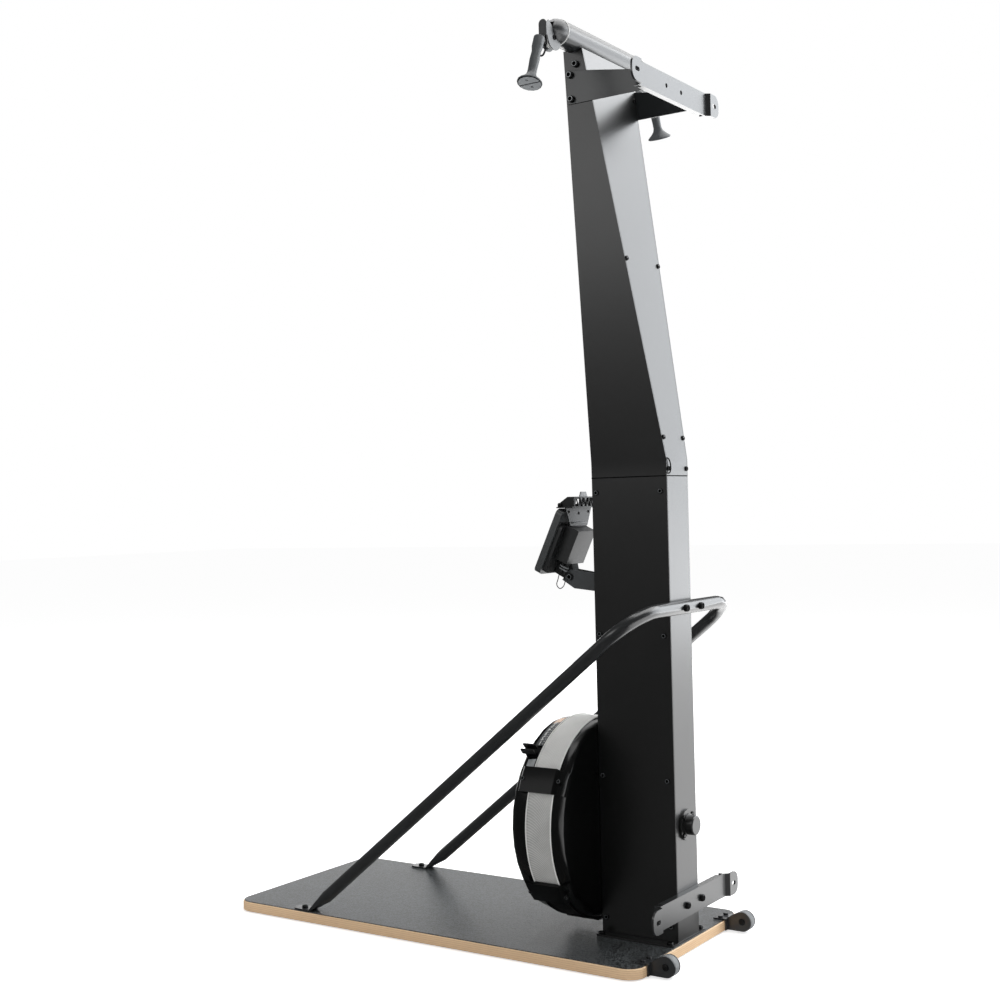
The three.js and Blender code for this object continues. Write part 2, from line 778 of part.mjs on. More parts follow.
// Fork folded from sheet: two cheeks, an outer web and the riveted pulley pin
function pulleyFork() {
  const low = -endPulleyDrop;
  const halfWidth = forkWidth / 2;
  const shoulder = forkTop - halfWidth;
  const start = Math.acos((forkStart - endPulleyOut) / forkRound);
  const shape = new THREE.Shape();
  shape.moveTo(forkStart, forkTop);
  shape.absarc(endPulleyOut, low, forkRound, -start, -Math.asin((forkLip - endPulleyDrop) / forkRound));
  shape.lineTo(forkReach, -forkLip);
  shape.lineTo(forkReach, shoulder);
  shape.lineTo(forkReach - halfWidth, forkTop);
  const cheek = (side) => plateY(shape, side * halfWidth - (side > 0 ? forkSheet : 0),
    side * halfWidth + (side > 0 ? 0 : forkSheet), smallSides);
  const strap = new THREE.Shape();
  strap.absarc(0, shoulder, halfWidth, 0, Math.PI);
  strap.lineTo(-halfWidth, -forkLip);
  strap.lineTo(halfWidth, -forkLip);
  const web = plateX(strap, forkReach - forkSheet, forkReach, roundSides / 2);
  const place = (y) => [endPulleyOut, y, low];
  const pin = bar(pinRadius, forkWidth, 'y', place(-halfWidth));
  const rivet = (side) => head(pinHead, pinHeadHeight, side > 0 ? 'y' : '-y', place(side * halfWidth));
  return joined(...both(cheek), web, pin, ...both(rivet));
}

// The cord's stretch that turns with the swivel: from the tube end, over the pulley, to its outer side
function cordWrap() {
  const top = endCordRadius - endPulleyDrop;
  const turns = each(smallSides / 2 + 1, (i) => (i / (smallSides / 2)) * (Math.PI / 2));
  const round = turns.map((turn) => [
    endPulleyOut + endCordRadius * Math.sin(turn), 0, -endPulleyDrop + endCordRadius * Math.cos(turn)]);
  return cordAlong([[gap, 0, top + gap], ...round], cordRadius, headSides);
}

// Handle frame: down its stem, outwards across it, and along Y
const tilt = radians(handleTilt);
const stemDown = vector(Math.sin(tilt), 0, -Math.cos(tilt));
const stemOut = vector(Math.cos(tilt), 0, Math.sin(tilt));
const handleTop = vector(handleHeadOut, 0, -handleHeadDrop);

// The free stretch of the cord, from the pulley's outer side to the handle
function pullCord() {
  const clear = neckRadius + cordRadius * Math.sin(tilt) + 2 * gap;
  const entry = handleTop.clone()
    .addScaledVector(stemDown, headLength + headRadius)
    .addScaledVector(stemOut, -clear);
  const out = endPulleyOut + endCordRadius;
  const reach = entry.x - out;
  const drop = -endPulleyDrop - entry.z;
  const points = pullRouteShares.map(([outShare, dropShare]) => [
    out + reach * outShare, 0, -endPulleyDrop - gap - (drop - gap) * dropShare]);
  return cordAlong(smoothed(points, smallSides), cordRadius, headSides);
}

// A handle: a round stem that swells at its head and in the palm and flares into an oval foot
function handle() {
  const flareStart = handleLength - handleFootEdge - flareLength;
  const section = (down, long, wide) => each(roundSides, (i) => {
    const turn = ((i + 0.5) / roundSides) * 2 * Math.PI;
    return handleTop.clone().addScaledVector(stemDown, down)
      .addScaledVector(stemOut, long * Math.cos(turn)).add(vector(0, wide * Math.sin(turn), 0));
  });
  const crown = each(arcSteps, (i) => ((i + 0.5) / arcSteps) * (Math.PI / 2));
  const flare = each(arcSteps + 1, (i) => 1 - Math.cos((i / arcSteps) * (Math.PI / 2)));
  const rings = [
    ...crown.map((turn) => section(headRadius / 2 * (1 - Math.sin(turn)),
      headRadius * (1 + Math.sin(turn)) / 2, headRadius * (1 + Math.sin(turn)) / 2)),
    section(headLength, headRadius, headRadius),
    section(headLength + headRadius, neckRadius, neckRadius),
    section((headLength + flareStart) / 2, gripSwell, gripSwell),
    section(flareStart - headRadius, neckRadius, neckRadius),
    ...flare.map((share, i) => section(flareStart + (i / arcSteps) * flareLength,
      neckRadius + (handleFootLong - neckRadius) * share,
      neckRadius + (handleFootWide - neckRadius) * share)),
    section(handleLength, handleFootLong, handleFootWide),
  ];
  return loft(rings);
}

// The cords' fixed stretches: up from the spools, over the idlers and out along the crossbar
function driveCords() {
  ends.forEach(({ side, label }, i) => {
    const turns = each(smallSides / 2 + 1, (j) => (j / (smallSides / 2)) * (Math.PI / 2));
    const round = turns.map((turn) => [
      side * (idlerOut - idlerCordRadius * Math.cos(turn)), crossY,
      idlerZ + idlerCordRadius * Math.sin(turn)]);
    const foot = [spoolCordRadius, columnRear - spoolNear - i * spoolPitch, axleZ];
    const last = [side * crossHalf, crossY, crossZ + endCordRadius - endPulleyDrop + gap];
    add(`drive_cord_${label}`, cordAlong([foot, ...round, last], cordRadius, headSides), cordFinish);
  });
}

// Two equal wall brackets: a joggled plate with slotted ears, flanged into a shallow channel
function wallBracket() {
  const rear = wallFaceY - bracketJoggle;
  const front = rear - bracketSheet;
  const earEnd = earHoleX + earReach;
  const bend = joggleX + joggleWidth / 2;
  const knee = joggleX - joggleWidth / 2;
  const half = [[earEnd, wallFaceY], [bend, wallFaceY], [knee, rear]];
  const under = [[knee, front], [bend, wallFaceY - bracketSheet], [earEnd, wallFaceY - bracketSheet]];
  const right = [...under, ...half];
  const left = right.map(([x, y]) => [-x, y]).reverse();
  const high = bracketHeight / 2;
  const strip = plateZ(outline([...right, ...left]), -high, high);
  const edge = plateY(rounded(2 * earEnd, bracketHeight, earCorner), front - overrun, wallFaceY + overrun);
  const slot = (side) => plateY(rounded(2 * earHoleRadius + earSlot, 2 * earHoleRadius, earHoleRadius - gap,
    side * earHoleX), front - overrun, wallFaceY + overrun);
  const hole = (side) => bar(bracketHoleRadius, bracketSheet + 2 * overrun, 'y',
    [side * bracketHoleX, front - overrun, 0]);
  const open = rear - bracketDepth;
  const flange = (side) => block([-flangeHalf, flangeHalf], [open, front + gap],
    [side * high, side * (high - flangeSheet)]);
  const returned = (side) => block([side * knee, side * (knee - flangeSheet)], [open, front + gap],
    [-high, high]);
  const blank = joined(kept(strip, edge), ...both(flange), ...both(returned));
  return cut(blank, ...both(slot), ...both(hole));
}

// Arms from the upper column to the upper bracket: plates that lean with the column's flared sides
const armLow = upperBracketZ - bracketHeight / 2 + flangeSheet + gap;
const armHigh = upperBracketZ + bracketHeight / 2 - flangeSheet - gap;

function arms() {
  const rear = wallFaceY - bracketJoggle - bracketSheet - gap;
  const step = wallFaceY - bracketJoggle - bracketDepth - gap;
  const front = frontAt(armLow) + armFrontInset;
  const shape = outline([
    [front, armLow], [rear, armLow], [rear, armHigh], [step, armHigh],
    [front + armTopFlat, armLow + armFrontHeight], [front, armLow + armFrontHeight],
  ]);
  const heights = [armLow + armBoltInset, armLow + armFrontHeight - armBoltInset];
  for (const { side, label } of ends) {
    const plate = joined(plateX(shape, gap, gap + armSheet), ...heights.map((z) => (
      bolt('x', [gap + armSheet - seat, front + armBoltInset, z]))));
    const lean = new THREE.Matrix4().set(
      side, 0, side * flareRate, side * (halfAt(armLow) - flareRate * armLow),
      0, 1, 0, 0,
      0, 0, 1, 0,
      0, 0, 0, 1,
    );
    add(`arm_${label}`, plate.applyMatrix4(lean), blackCoat);
  }
}

function brackets() {
  add('upper_wall_bracket', wallBracket().translate(0, 0, upperBracketZ), blackCoat);
  const heads = both((side) => bolt('y', [side * bracketHoleX, wallFaceY - bracketJoggle - seat, 0]));
  add('lower_wall_bracket', joined(wallBracket(), ...heads).translate(0, 0, lowerBracketZ), blackCoat);
}

// Strut frame: one tube, bent twice in a sloping plane, with its feet pressed flat onto the deck
const strutSlope = radians(strutAngle);
const strutAxisY = columnRear + gap + strutRadius;

function strutFrame() {
  const uphill = vector(0, Math.cos(strutSlope), Math.sin(strutSlope));
  const normal = vector(0, -Math.sin(strutSlope), Math.cos(strutSlope));
  const upright = vector(0, 0, 1);
  const crown = vector(0, strutAxisY, strutHeight);
  const footMid = deckTop + gap + strutFootSheet / 2;
  const legLength = (strutHeight - footMid) / Math.sin(strutSlope);
  const [flatWide, flatHigh] = [strutFootWidth / 2, strutFootSheet / 2];
  const section = (centre, across, up, wide, high, roundness) => each(strutSides, (i) => {
    const turn = ((i + 0.5) / strutSides) * 2 * Math.PI;
    const swell = (value) => Math.sign(value) * Math.abs(value) ** roundness;
    return centre.clone().addScaledVector(across, wide * swell(Math.cos(turn)))
      .addScaledVector(up, high * swell(Math.sin(turn)));
  });
  const leg = (side) => {
    const outside = vector(side, 0, 0);
    const onLeg = (up) => vector(side * strutHalf, crown.y, crown.z).addScaledVector(uphill, up - legLength);
    const onDeck = (reach, share) => section(onLeg(0).add(vector(0, -reach, 0)), outside, upright,
      flatWide * share, flatHigh, strutFlatShare);
    const steps = each(arcSteps, (i) => (i + 1) / arcSteps);
    return [
      onDeck(strutFootLength, toeTipShare),
      onDeck(strutFootLength - flatWide / 3, toeShare),
      onDeck(strutFootLength - flatWide, 1),
      onDeck(strutFootBend, 1),
      section(onLeg(0), outside, normal.clone().add(upright).normalize(), flatWide, flatHigh, strutFlatShare),
      ...steps.map((share) => section(onLeg(strutFlatten * share), outside, normal,
        flatWide + (strutRadius - flatWide) * share, flatHigh + (strutRadius - flatHigh) * share,
        strutFlatShare + (1 - strutFlatShare) * share)),
    ];
  };
  const bendSteps = 2 * arcSteps;
  const bend = (side) => each(bendSteps + 1, (i) => {
    const turn = (i / bendSteps) * (Math.PI / 2);
    const centre = crown.clone().addScaledVector(uphill, -strutBend * (1 - Math.sin(turn)));
    centre.x = side * (strutHalf - strutBend * (1 - Math.cos(turn)));
    const outside = vector(side * Math.cos(turn), 0, 0).addScaledVector(uphill, Math.sin(turn));
    return section(centre, outside, normal, strutRadius, strutRadius, 1);
  });
  const halfFrame = (side) => [...leg(side), ...bend(side)];
  const footY = strutAxisY - legLength * Math.cos(strutSlope) - strutFootLength / 2;
  const heads = both((side) => [
    bolt('z', [side * strutHalf, footY, footMid + flatHigh - seat]),
    bolt('y', [side * strutBoltX, strutAxisY + strutRadius - 2 * seat, strutHeight]),
  ]).flat();
  add('strut_frame', joined(loft([...halfFrame(1), ...halfFrame(-1).reverse()]), ...heads), strutCoat);
}

// Rear drum shell, mesh band and front drum shell, turned about the axle
const drumPlace = [0, 0, axleZ];
const meshRear = drumBack - seamRear;
const meshFront = drumBack - seamFront;
const rimEnd = meshFront - rimLength;
const rimInner = drumRadius - shellWall;

function drumShells() {
  const rearCorner = drumRadius - backRound;
  const quarter = each(arcSteps + 1, (i) => (i / arcSteps) * (Math.PI / 2));
  const corner = [quarter[0], quarter[arcSteps]];
  const flank = (inset, turns) => turns.map((turn) => [
    rearCorner + (backRound - inset) * Math.sin(turn), meshRear + (seamRear - inset) * Math.cos(turn)]);
  const outer = [[bearingOuter + gap, drumBack], ...flank(0, quarter)];
  const inner = [[bearingOuter + gap, drumBack - shellWall], ...flank(shellWall, corner)].reverse();
  const shell = turned([...outer, ...inner, outer[0]], 'y', drumPlace, fineSides);
  add('drum_rear_shell', joined(shell, ...drumClips()), shellPlastic);
  add('drum_mesh', ring(drumRadius, drumRadius - meshSheet, meshRear - meshFront - 2 * gap, 'y',
    [0, meshFront + gap, axleZ], fineSides), wireCloth);
  const endRadius = rimInner - rimTaper / 2;
  const shoulder = endRadius - shoulderRound;
  const nose = (inset, turns) => turns.map((turn) => [
    shoulder + (shoulderRound - inset) * Math.cos(turn),
    rimEnd - (rimEnd - drumFace - inset) * Math.sin(turn)]);
  const outside = [[rimInner, meshFront], ...nose(0, quarter), [inletRadius, drumFace]];
  const inside = [
    [rimInner - shellWall, meshFront], ...nose(shellWall, corner), [inletRadius, drumFace + shellWall],
  ].reverse();
  const front = turned([...outside, ...inside, outside[0]], 'y', drumPlace, fineSides);
  const margin = Math.asin((leverWidth / 2 + slotMargin) / endRadius);
  const start = radians(leverAngle) - margin;
  const end = start + radians(leverTravel) + 2 * margin;
  const travel = plateY(sector(shoulder, drumRadius + overrun, start, end),
    leverFront - gap, leverFront + leverSheet + gap, roundSides).translate(0, 0, axleZ);
  add('drum_front_shell', cut(front, travel), shellPlastic);
}

// Clips on the rear shell that reach across the mesh band and hold the front shell
function drumClips() {
  const [front, rear] = [drumFace + clipFront, drumBack - gap];
  const clear = drumRadius + gap;
  const proud = drumRadius + clipProud;
  const chamfer = clipProud / 2;
  const tab = rear - clipTabLength;
  const low = drumRadius - clipTabSink;
  const profile = [
    [clear, front], [proud - chamfer, front], [proud, front + chamfer], [proud, tab - chamfer],
    [proud - chamfer, tab], [clear + clipSheet / 2, tab + clipSheet],
    [clear - clipSheet / 2, rear - clipSheet], [low + 2 * clipSheet, rear], [low, rear - gap],
    [clear, meshRear + gap], [clear, tab - clipProud],
  ];
  const clip = (angle) => loft(each(arcSteps + 1, (i) => {
    const turn = radians(angle + clipArc * (i / arcSteps - 1 / 2));
    return profile.map(([radius, y]) => vector(radius * Math.cos(turn), y, axleZ + radius * Math.sin(turn)));
  }));
  return [clipHigh, 180 - clipHigh, -clipLow, clipLow - 180, -90].map(clip);
}

// Air inlet grille with its bearing sleeve, radial slots and rim
const grilleBack = drumFace + grilleThickness;

function inletGrille() {
  const sleeveEnd = drumFace + grilleSleeveDepth;
  const bore = bearingOuter + gap;
  const rim = inletRadius - gap;
  const profile = [
    [bore, drumFace], [rim, drumFace], [rim, grilleBack], [grilleSleeve, grilleBack],
    [grilleSleeve, sleeveEnd], [bore, sleeveEnd], [bore, drumFace],
  ];
  const plate = turned(profile, 'y', drumPlace, fineSides);
  const pitch = (2 * Math.PI) / grilleSlots;
  const slots = each(grilleSlots, (i) => plateY(
    sector(grilleHub, rim - grilleRim, (i - grilleSlotShare / 2) * pitch, (i + grilleSlotShare / 2) * pitch),
    drumFace - overrun, grilleBack + overrun, 1).translate(0, 0, axleZ));
  add('inlet_grille', cut(plate, ...slots), shellPlastic);
}

// Damper: a windowed ring that turns on the grille's sleeve, with an arm and a double fin at the rim
const damperFront = grilleBack + damperClearance;
const leverFront = damperFront + leverSetback;

function damper() {
  const bore = grilleSleeve + gap;
  const plate = ring(damperOuter, bore, damperSheet, 'y', [0, damperFront, axleZ], fineSides);
  const pitch = (2 * Math.PI) / damperWindows;
  const windows = each(damperWindows, (i) => plateY(sector(damperWindowInner, damperWindowOuter,
    (i - damperWindowShare / 2) * pitch, (i + damperWindowShare / 2) * pitch),
    damperFront - overrun, damperFront + damperSheet + overrun).translate(0, 0, axleZ));
  const half = leverWidth / 2;
  const leverBack = leverFront + leverSheet;
  const arm = block([damperWindowOuter, leverReach], [leverFront, leverBack], [-half, half]);
  const root = block([damperWindowOuter, damperOuter - gap], [damperFront, leverBack], [-half, half]);
  const finFront = leverFront + leverSheet / 2 - finForward;
  const fin = (side) => block([drumRadius + overrun / 2, drumRadius + finRise],
    [finFront, finFront + finDepth], [side * half, side * (half - finSheet)]);
  const lever = joined(arm, root, ...both(fin)).rotateY(-radians(leverAngle)).translate(0, 0, axleZ);
  add('damper_lever', joined(cut(plate, ...windows), lever), darkPlastic);
}

// Fan: a windowed back plate on a hub, with curved blades round its edge
function fan() {
  const back = drumBack - fanBack;
  const hub = ring(fanHubRadius, axleRadius + gap, fanHubLength, 'y', [0, back - fanHubLength, axleZ]);
  const plate = ring(fanRadius, axleRadius + gap, fanPlate, 'y', [0, back - fanPlate, axleZ], fineSides);
  const pitch = (2 * Math.PI) / fanWindows;
  const windows = each(fanWindows, (i) => plateY(sector(fanWindowInner, fanWindowOuter,
    (i - fanWindowShare / 2) * pitch, (i + fanWindowShare / 2) * pitch),
    back - fanPlate - overrun, back + overrun).translate(0, 0, axleZ));
  const lean = radians(fanBladeLean);
  const steps = each(arcSteps, (i) => i / (arcSteps - 1));
  const reach = fanRadius - gap - fanBladeInner;
  const line = (shift) => steps.map((share) => {
    const radius = fanBladeInner + reach * share;
    const turn = lean * share * share + shift / radius;
    return [radius * Math.cos(turn), radius * Math.sin(turn)];
  });
  const blade = plateY(outline([...line(-fanBladeSheet / 2), ...line(fanBladeSheet / 2).reverse()]),
    back - fanPlate - fanBladeWidth, back - fanPlate / 2);
  const blades = each(fanBlades, (i) => (
    blade.clone().rotateY((i / fanBlades) * 2 * Math.PI).translate(0, 0, axleZ)));
  add('flywheel_fan', joined(cut(plate, ...windows), hub, ...blades), shellPlastic);
}

// Axle, its bearings and cord spools, and the bearing housing on the column's rear face
const housingY = columnRear + gap;
const housingTop = housingY + housingLength;

function axle() {
  const tail = housingTop - housingEnd - axleEndGap;
  const nose = drumFace + housingEnd;
  add('flywheel_axle', bar(axleRadius, tail - nose, 'y', [0, nose, axleZ], roundSides), zincSteel);
  const bore = axleRadius + gap;
  const bearing = (y) => ring(bearingOuter, bore, bearingWidth, 'y', [0, y, axleZ], roundSides);
  add('front_bearing', bearing(drumFace + housingEnd), zincSteel);
  add('rear_bearing', bearing(housingY + gap), zincSteel);
  const profile = [
    [bearingOuter + gap, 0], [housingFlange, 0], [housingFlange, housingFlangeSheet],
    [housingCollar, housingFlangeSheet], [housingCollar, housingCollarLength],
    [housingBoss, housingCollarLength], [housingBoss, housingLength - housingEnd / 2],
    [housingBoss - housingEnd / 2, housingLength], [0, housingLength], [0, housingLength - housingEnd],
    [bearingOuter + gap, housingLength - housingEnd], [bearingOuter + gap, 0],
  ];
  const offset = housingScrewCircle * Math.SQRT1_2;
  const heads = both((side) => both((hand) => (
    screw('y', [side * offset, housingY + housingFlangeSheet - seat, axleZ + hand * offset])))).flat();
  add('bearing_housing', joined(turned(profile, 'y', [0, housingY, axleZ]), ...heads), blackCoat);
  for (const [i, { label }] of ends.entries()) {
    const core = spoolCordRadius - cordRadius - gap;
    const half = spoolWidth / 2;
    const inner = half - spoolFlangeSheet;
    const spool = turned([[bore, -half], [spoolFlange, -half], [spoolFlange, -inner], [core, -inner],
      [core, inner], [spoolFlange, inner], [spoolFlange, half], [bore, half], [bore, -half]],
      'y', [0, columnRear - spoolNear - i * spoolPitch, axleZ], smallSides);
    add(`cord_spool_${label}`, spool, nylon);
  }
}

// Monitor frame: x across, out towards the user, up its face; turned and placed on the tilt pivot
const lean = radians(monitorTilt);
const leaned = (geometry) => geometry.rotateX(-lean).translate(0, pivotY, pivotHeight);
const monitorBlock = (x, out, up) => block(x, [-out[0], -out[1]], up);

function monitor() {
  const back = monitorFace - monitorThickness;
  const height = monitorDrop + monitorRise;
  const middle = (monitorRise - monitorDrop) / 2;
  const slab = plateY(rounded(monitorWidth, height, monitorCorner, 0, middle), -monitorFace, -back);
  const screenHigh = monitorRise - screenTop;
  const screenHalf = screenWidth / 2;
  const floorOut = monitorFace - screenRecess;
  const window = monitorBlock([-screenHalf, screenHalf], [floorOut, monitorFace + overrun],
    [screenHigh - screenHeight, screenHigh]);
  const places = each(buttonCount, (i) => (i - (buttonCount - 1) / 2) * buttonPitch);
  const wells = places.map((x) => bar(buttonRadius + gap, buttonDepth + overrun, 'y',
    [x, -monitorFace - overrun, buttonRise]));
  add('monitor_shell', leaned(cut(slab, window, ...wells)), darkPlastic);
  const lens = monitorBlock([gap - screenHalf, screenHalf - gap],
    [floorOut + gap, floorOut + gap + lensSheet],
    [screenHigh - screenHeight + gap, screenHigh - gap]);
  add('screen_lens', leaned(lens), glass);
  places.forEach((x, i) => {
    const length = buttonDepth - buttonTravel - gap + buttonProud;
    const button = bar(buttonRadius, length, 'y', [x, -monitorFace - buttonProud, buttonRise]);
    add(`monitor_button_${i + 1}`, leaned(button), gripRubber);
  });
  add('monitor_housing', leaned(monitorHousing(back - gap)), darkPlastic);
}

// Back cover with the battery box, the two lead plugs and the pivot tongue
function monitorHousing(front) {
  const rear = front - coverDepth;
  const height = coverDrop + batteryTop;
  const middle = (batteryTop - coverDrop) / 2;
  const cover = plateY(rounded(coverWidth, height, monitorCorner, 0, middle), -front, -rear);
  const half = batteryWidth / 2;
  const box = monitorBlock([-half, half], [batteryRear, rear + gap], [batteryBottom, batteryTop]);
  const plugs = each(2, (i) => bar(plugRadius, plugLength, 'z',
    [plugX, -batteryRear - plugRadius - i * plugPitch, batteryBottom - plugLength + gap]));
  const tongue = new THREE.Shape();
  tongue.absarc(0, 0, tongueRound, -Math.PI / 2, 0);
  tongue.lineTo(-batteryRear, batteryBottom + gap);
  tongue.lineTo(-rear - gap, batteryBottom + gap);
  tongue.lineTo(-rear - gap, -coverDrop);
  const lug = plateX(tongue, -tongueHalf, tongueHalf, smallSides);
  const bore = bar(pivotRadius + gap, 2 * tongueHalf + 2 * overrun, 'x', [-tongueHalf - overrun, 0, 0]);
  return cut(joined(cover, box, ...plugs, lug), bore);
}

// Monitor arm: a folded channel whose two cheeks carry the pivot
function monitorArm() {
  const shape = outline([
    [-gap, armBase], [-armKnee, armBase + armKneeRise], [-armTip, armBase + armTipRise],
    [-pivotForward, armBase + armCrown], [-gap, armBase + armBaseHeight],
  ]);
  const cheek = (side) => plateX(shape, side * armHalf, side * (armHalf + armPlate));
  const reach = armHalf + armPlate;
  const web = block([-reach, reach], [-gap, -gap - armPlate], [armBase, armBase + armBaseHeight]);
  const cheeks = both((side) => (side > 0 ? cheek(1) : cheek(1).scale(-1, 1, 1)));
  const pin = [
    bar(pivotRadius, 2 * reach, 'x', [-reach, -pivotForward, pivotHeight]),
    bolt('x', [reach - seat, -pivotForward, pivotHeight]),
    bolt('-x', [seat - reach, -pivotForward, pivotHeight]),
  ];
  add('monitor_arm', joined(...cheeks, web, ...pin).translate(0, columnFront, 0), blackCoat);
}

// Phone holder: an upright plate on the battery box, a ribbed cradle above it, and its spring clamp
function phoneHolder() {
  const flare = outline([
    [-holderPlateHalfLow, holderPlateLow], [holderPlateHalfLow, holderPlateLow],
    [holderPlateHalf, holderFloorRise + gap], [-holderPlateHalf, holderFloorRise + gap],
  ]);
  const plate = plateY(flare, holderPlateBehind, holderPlateBehind + holderPlate);
  const floorTop = holderFloorRise + holderFloor;
  const wallTop = floorTop + holderWallRise;
  const across = [-holderHalf, holderHalf];
  const floor = block([-holderPlateHalf, holderPlateHalf], [-holderFront, holderRear],
    [holderFloorRise, floorTop]);
  const lip = block(across, [-holderFront, holderFloor - holderFront],
    [holderFloorRise, floorTop + holderLip]);
  const wall = block(across, [holderRear - holderFloor, holderRear], [holderFloorRise, wallTop]);
  const slope = outline([
    [gap - holderFront, holderFloorRise], [holderRear - gap, holderFloorRise], [holderRear - gap, wallTop],
    [holderRear / 2, wallTop], [gap - holderFront, floorTop + holderLip],
  ]);
  const cheek = (side) => plateX(slope, side * (holderHalf - (side > 0 ? holderFloor : 0)),
    side * (holderHalf - (side > 0 ? 0 : holderFloor)));
  const pitch = 2 * (holderHalf - holderFloor) / holderBays;
  const [sill, head] = [floorTop + gap, wallTop - holderFloor];
  const slots = each(2 * holderBays, (i) => {
    const left = holderFloor - holderHalf + (i * pitch + holderRib) / 2;
    const right = left + pitch - holderRib;
    const bay = i % 2 ? [[left, head], [right, head], [(left + right) / 2, sill]]
      : [[left, sill], [right, sill], [(left + right) / 2, head]];
    return plateY(outline(bay), holderRear - holderFloor - overrun / 2, holderRear + overrun);
  }).slice(0, -1);
  const body = cut(joined(plate, floor, lip, wall, ...both(cheek)), ...slots);
  add('phone_holder', body.translate(0, pivotY, pivotHeight), darkPlastic);
  const clampFront = holderRear - holderFloor - gap - clampSheet;
  const clampTop = floorTop + clampRise;
  const tongue = plateY(outline([
    [-clampHalf, floorTop + gap], [clampHalf, floorTop + gap], [clampHalf, clampTop - clampChamfer],
    [clampTopHalf, clampTop], [-clampTopHalf, clampTop], [-clampHalf, clampTop - clampChamfer],
  ]), clampFront, clampFront + clampSheet);
  const hook = block([-clampTopHalf, clampTopHalf], [clampFront - clampHook, clampFront + gap],
    [clampTop - clampChamfer - clampSheet, clampTop - clampChamfer]);
  add('phone_clamp', joined(tongue, hook).translate(0, pivotY, pivotHeight), greyCoat);
}

// Sensor lead: a short loop that hangs between the two plugs
function sensorLead() {
  const plugFoot = (i) => vector(plugX, -batteryRear - plugRadius - i * plugPitch, batteryBottom - plugLength)
    .applyAxisAngle(vector(1, 0, 0), -lean).add(vector(0, pivotY, pivotHeight));
  const [first, second] = [plugFoot(0), plugFoot(1)];
  const straight = vector(0, 0, -gap - leadRadius).applyAxisAngle(vector(1, 0, 0), -lean);
  const [start, end] = [first, second].map((foot) => foot.clone().addScaledVector(straight, plugEndShare));
  const points = [
    start.toArray(), start.clone().add(straight).toArray(),
    ...leadRoute.map(([y, z]) => [plugX, first.y + y, first.z + z]),
    end.clone().add(straight).toArray(), end.toArray(),
  ];
  add('sensor_lead', cordAlong(smoothed(points, roundSides), leadRadius, headSides), cordFinish);
}

// Transport wheels in U brackets at the rear edge of the deck
const wheelPlateTop = deckTop + gap + wheelPlateSheet;
const cheekOut = wheelWidth / 2 + cheekGap + cheekSheet;

function wheels() {
  for (const { side, label } of ends) {
    const half = wheelWidth / 2;
    const low = wheelRadius - wheelGroove;
    const profile = [
      [wheelPin + gap, -half], [low, -half], [wheelRadius, wheelGroove - half],
      [wheelRadius, half - wheelGroove], [low, half], [wheelPin + gap, half], [wheelPin + gap, -half],
    ];
    const wheel = turned(profile, 'x', [side * wheelX, wheelBehind, wheelHeight]);
    add(`wheel_${label}`, wheel, treadRubber);
  }
  const front = gap + wheelPlateSheet;
  const neck = [wheelBehind - gap, wheelPlateTop - wheelHeight];
  const tangent = Math.PI - Math.atan2(neck[1], neck[0]) - Math.acos(cheekRadius / Math.hypot(...neck));
  const shape = new THREE.Shape();
  shape.absarc(wheelBehind, wheelHeight, cheekRadius, -Math.PI / 2, tangent);
  shape.lineTo(gap, wheelPlateTop);
  shape.lineTo(gap, wheelHeight - cheekRadius);
  for (const { side, label } of ends) {
    const centre = side * wheelX;
    const cheek = (hand) => plateX(shape, 0, cheekSheet, smallSides)
      .translate(centre + (hand > 0 ? cheekOut - cheekSheet : -cheekOut), 0, 0);
    const wide = wheelPlateWidth / 2;
    const upright = block([centre - wide, centre + wide], [gap, front],
      [wheelHeight - cheekRadius, wheelPlateTop]);
    const top = block([centre - wide, centre + wide], [-wheelPlateLength, front],
      [deckTop + gap, wheelPlateTop]);
    const pinHalf = cheekOut + boltHeight;
    const pin = bar(wheelPin, 2 * pinHalf, 'x', [centre - pinHalf, wheelBehind, wheelHeight]);
    const heads = both((hand) => (
      bolt('z', [centre + hand * wide * boltShare, -wheelPlateLength / 2, wheelPlateTop - seat])));
    add(`wheel_bracket_${label}`, joined(...both(cheek), upright, top, pin, ...heads), blackCoat);
  }
}

deck();
lowerColumn();
upperColumn();
crossbar();
idlers();
driveCords();
ends.forEach(swivelEnd);
brackets();
arms();
strutFrame();
drumShells();
inletGrille();
damper();
fan();
axle();
monitorArm();
monitor();
phoneHolder();
sensorLead();
wheels();

export default machine;
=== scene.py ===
import json
import math

import bmesh
import bpy
from mathutils import Matrix, Vector


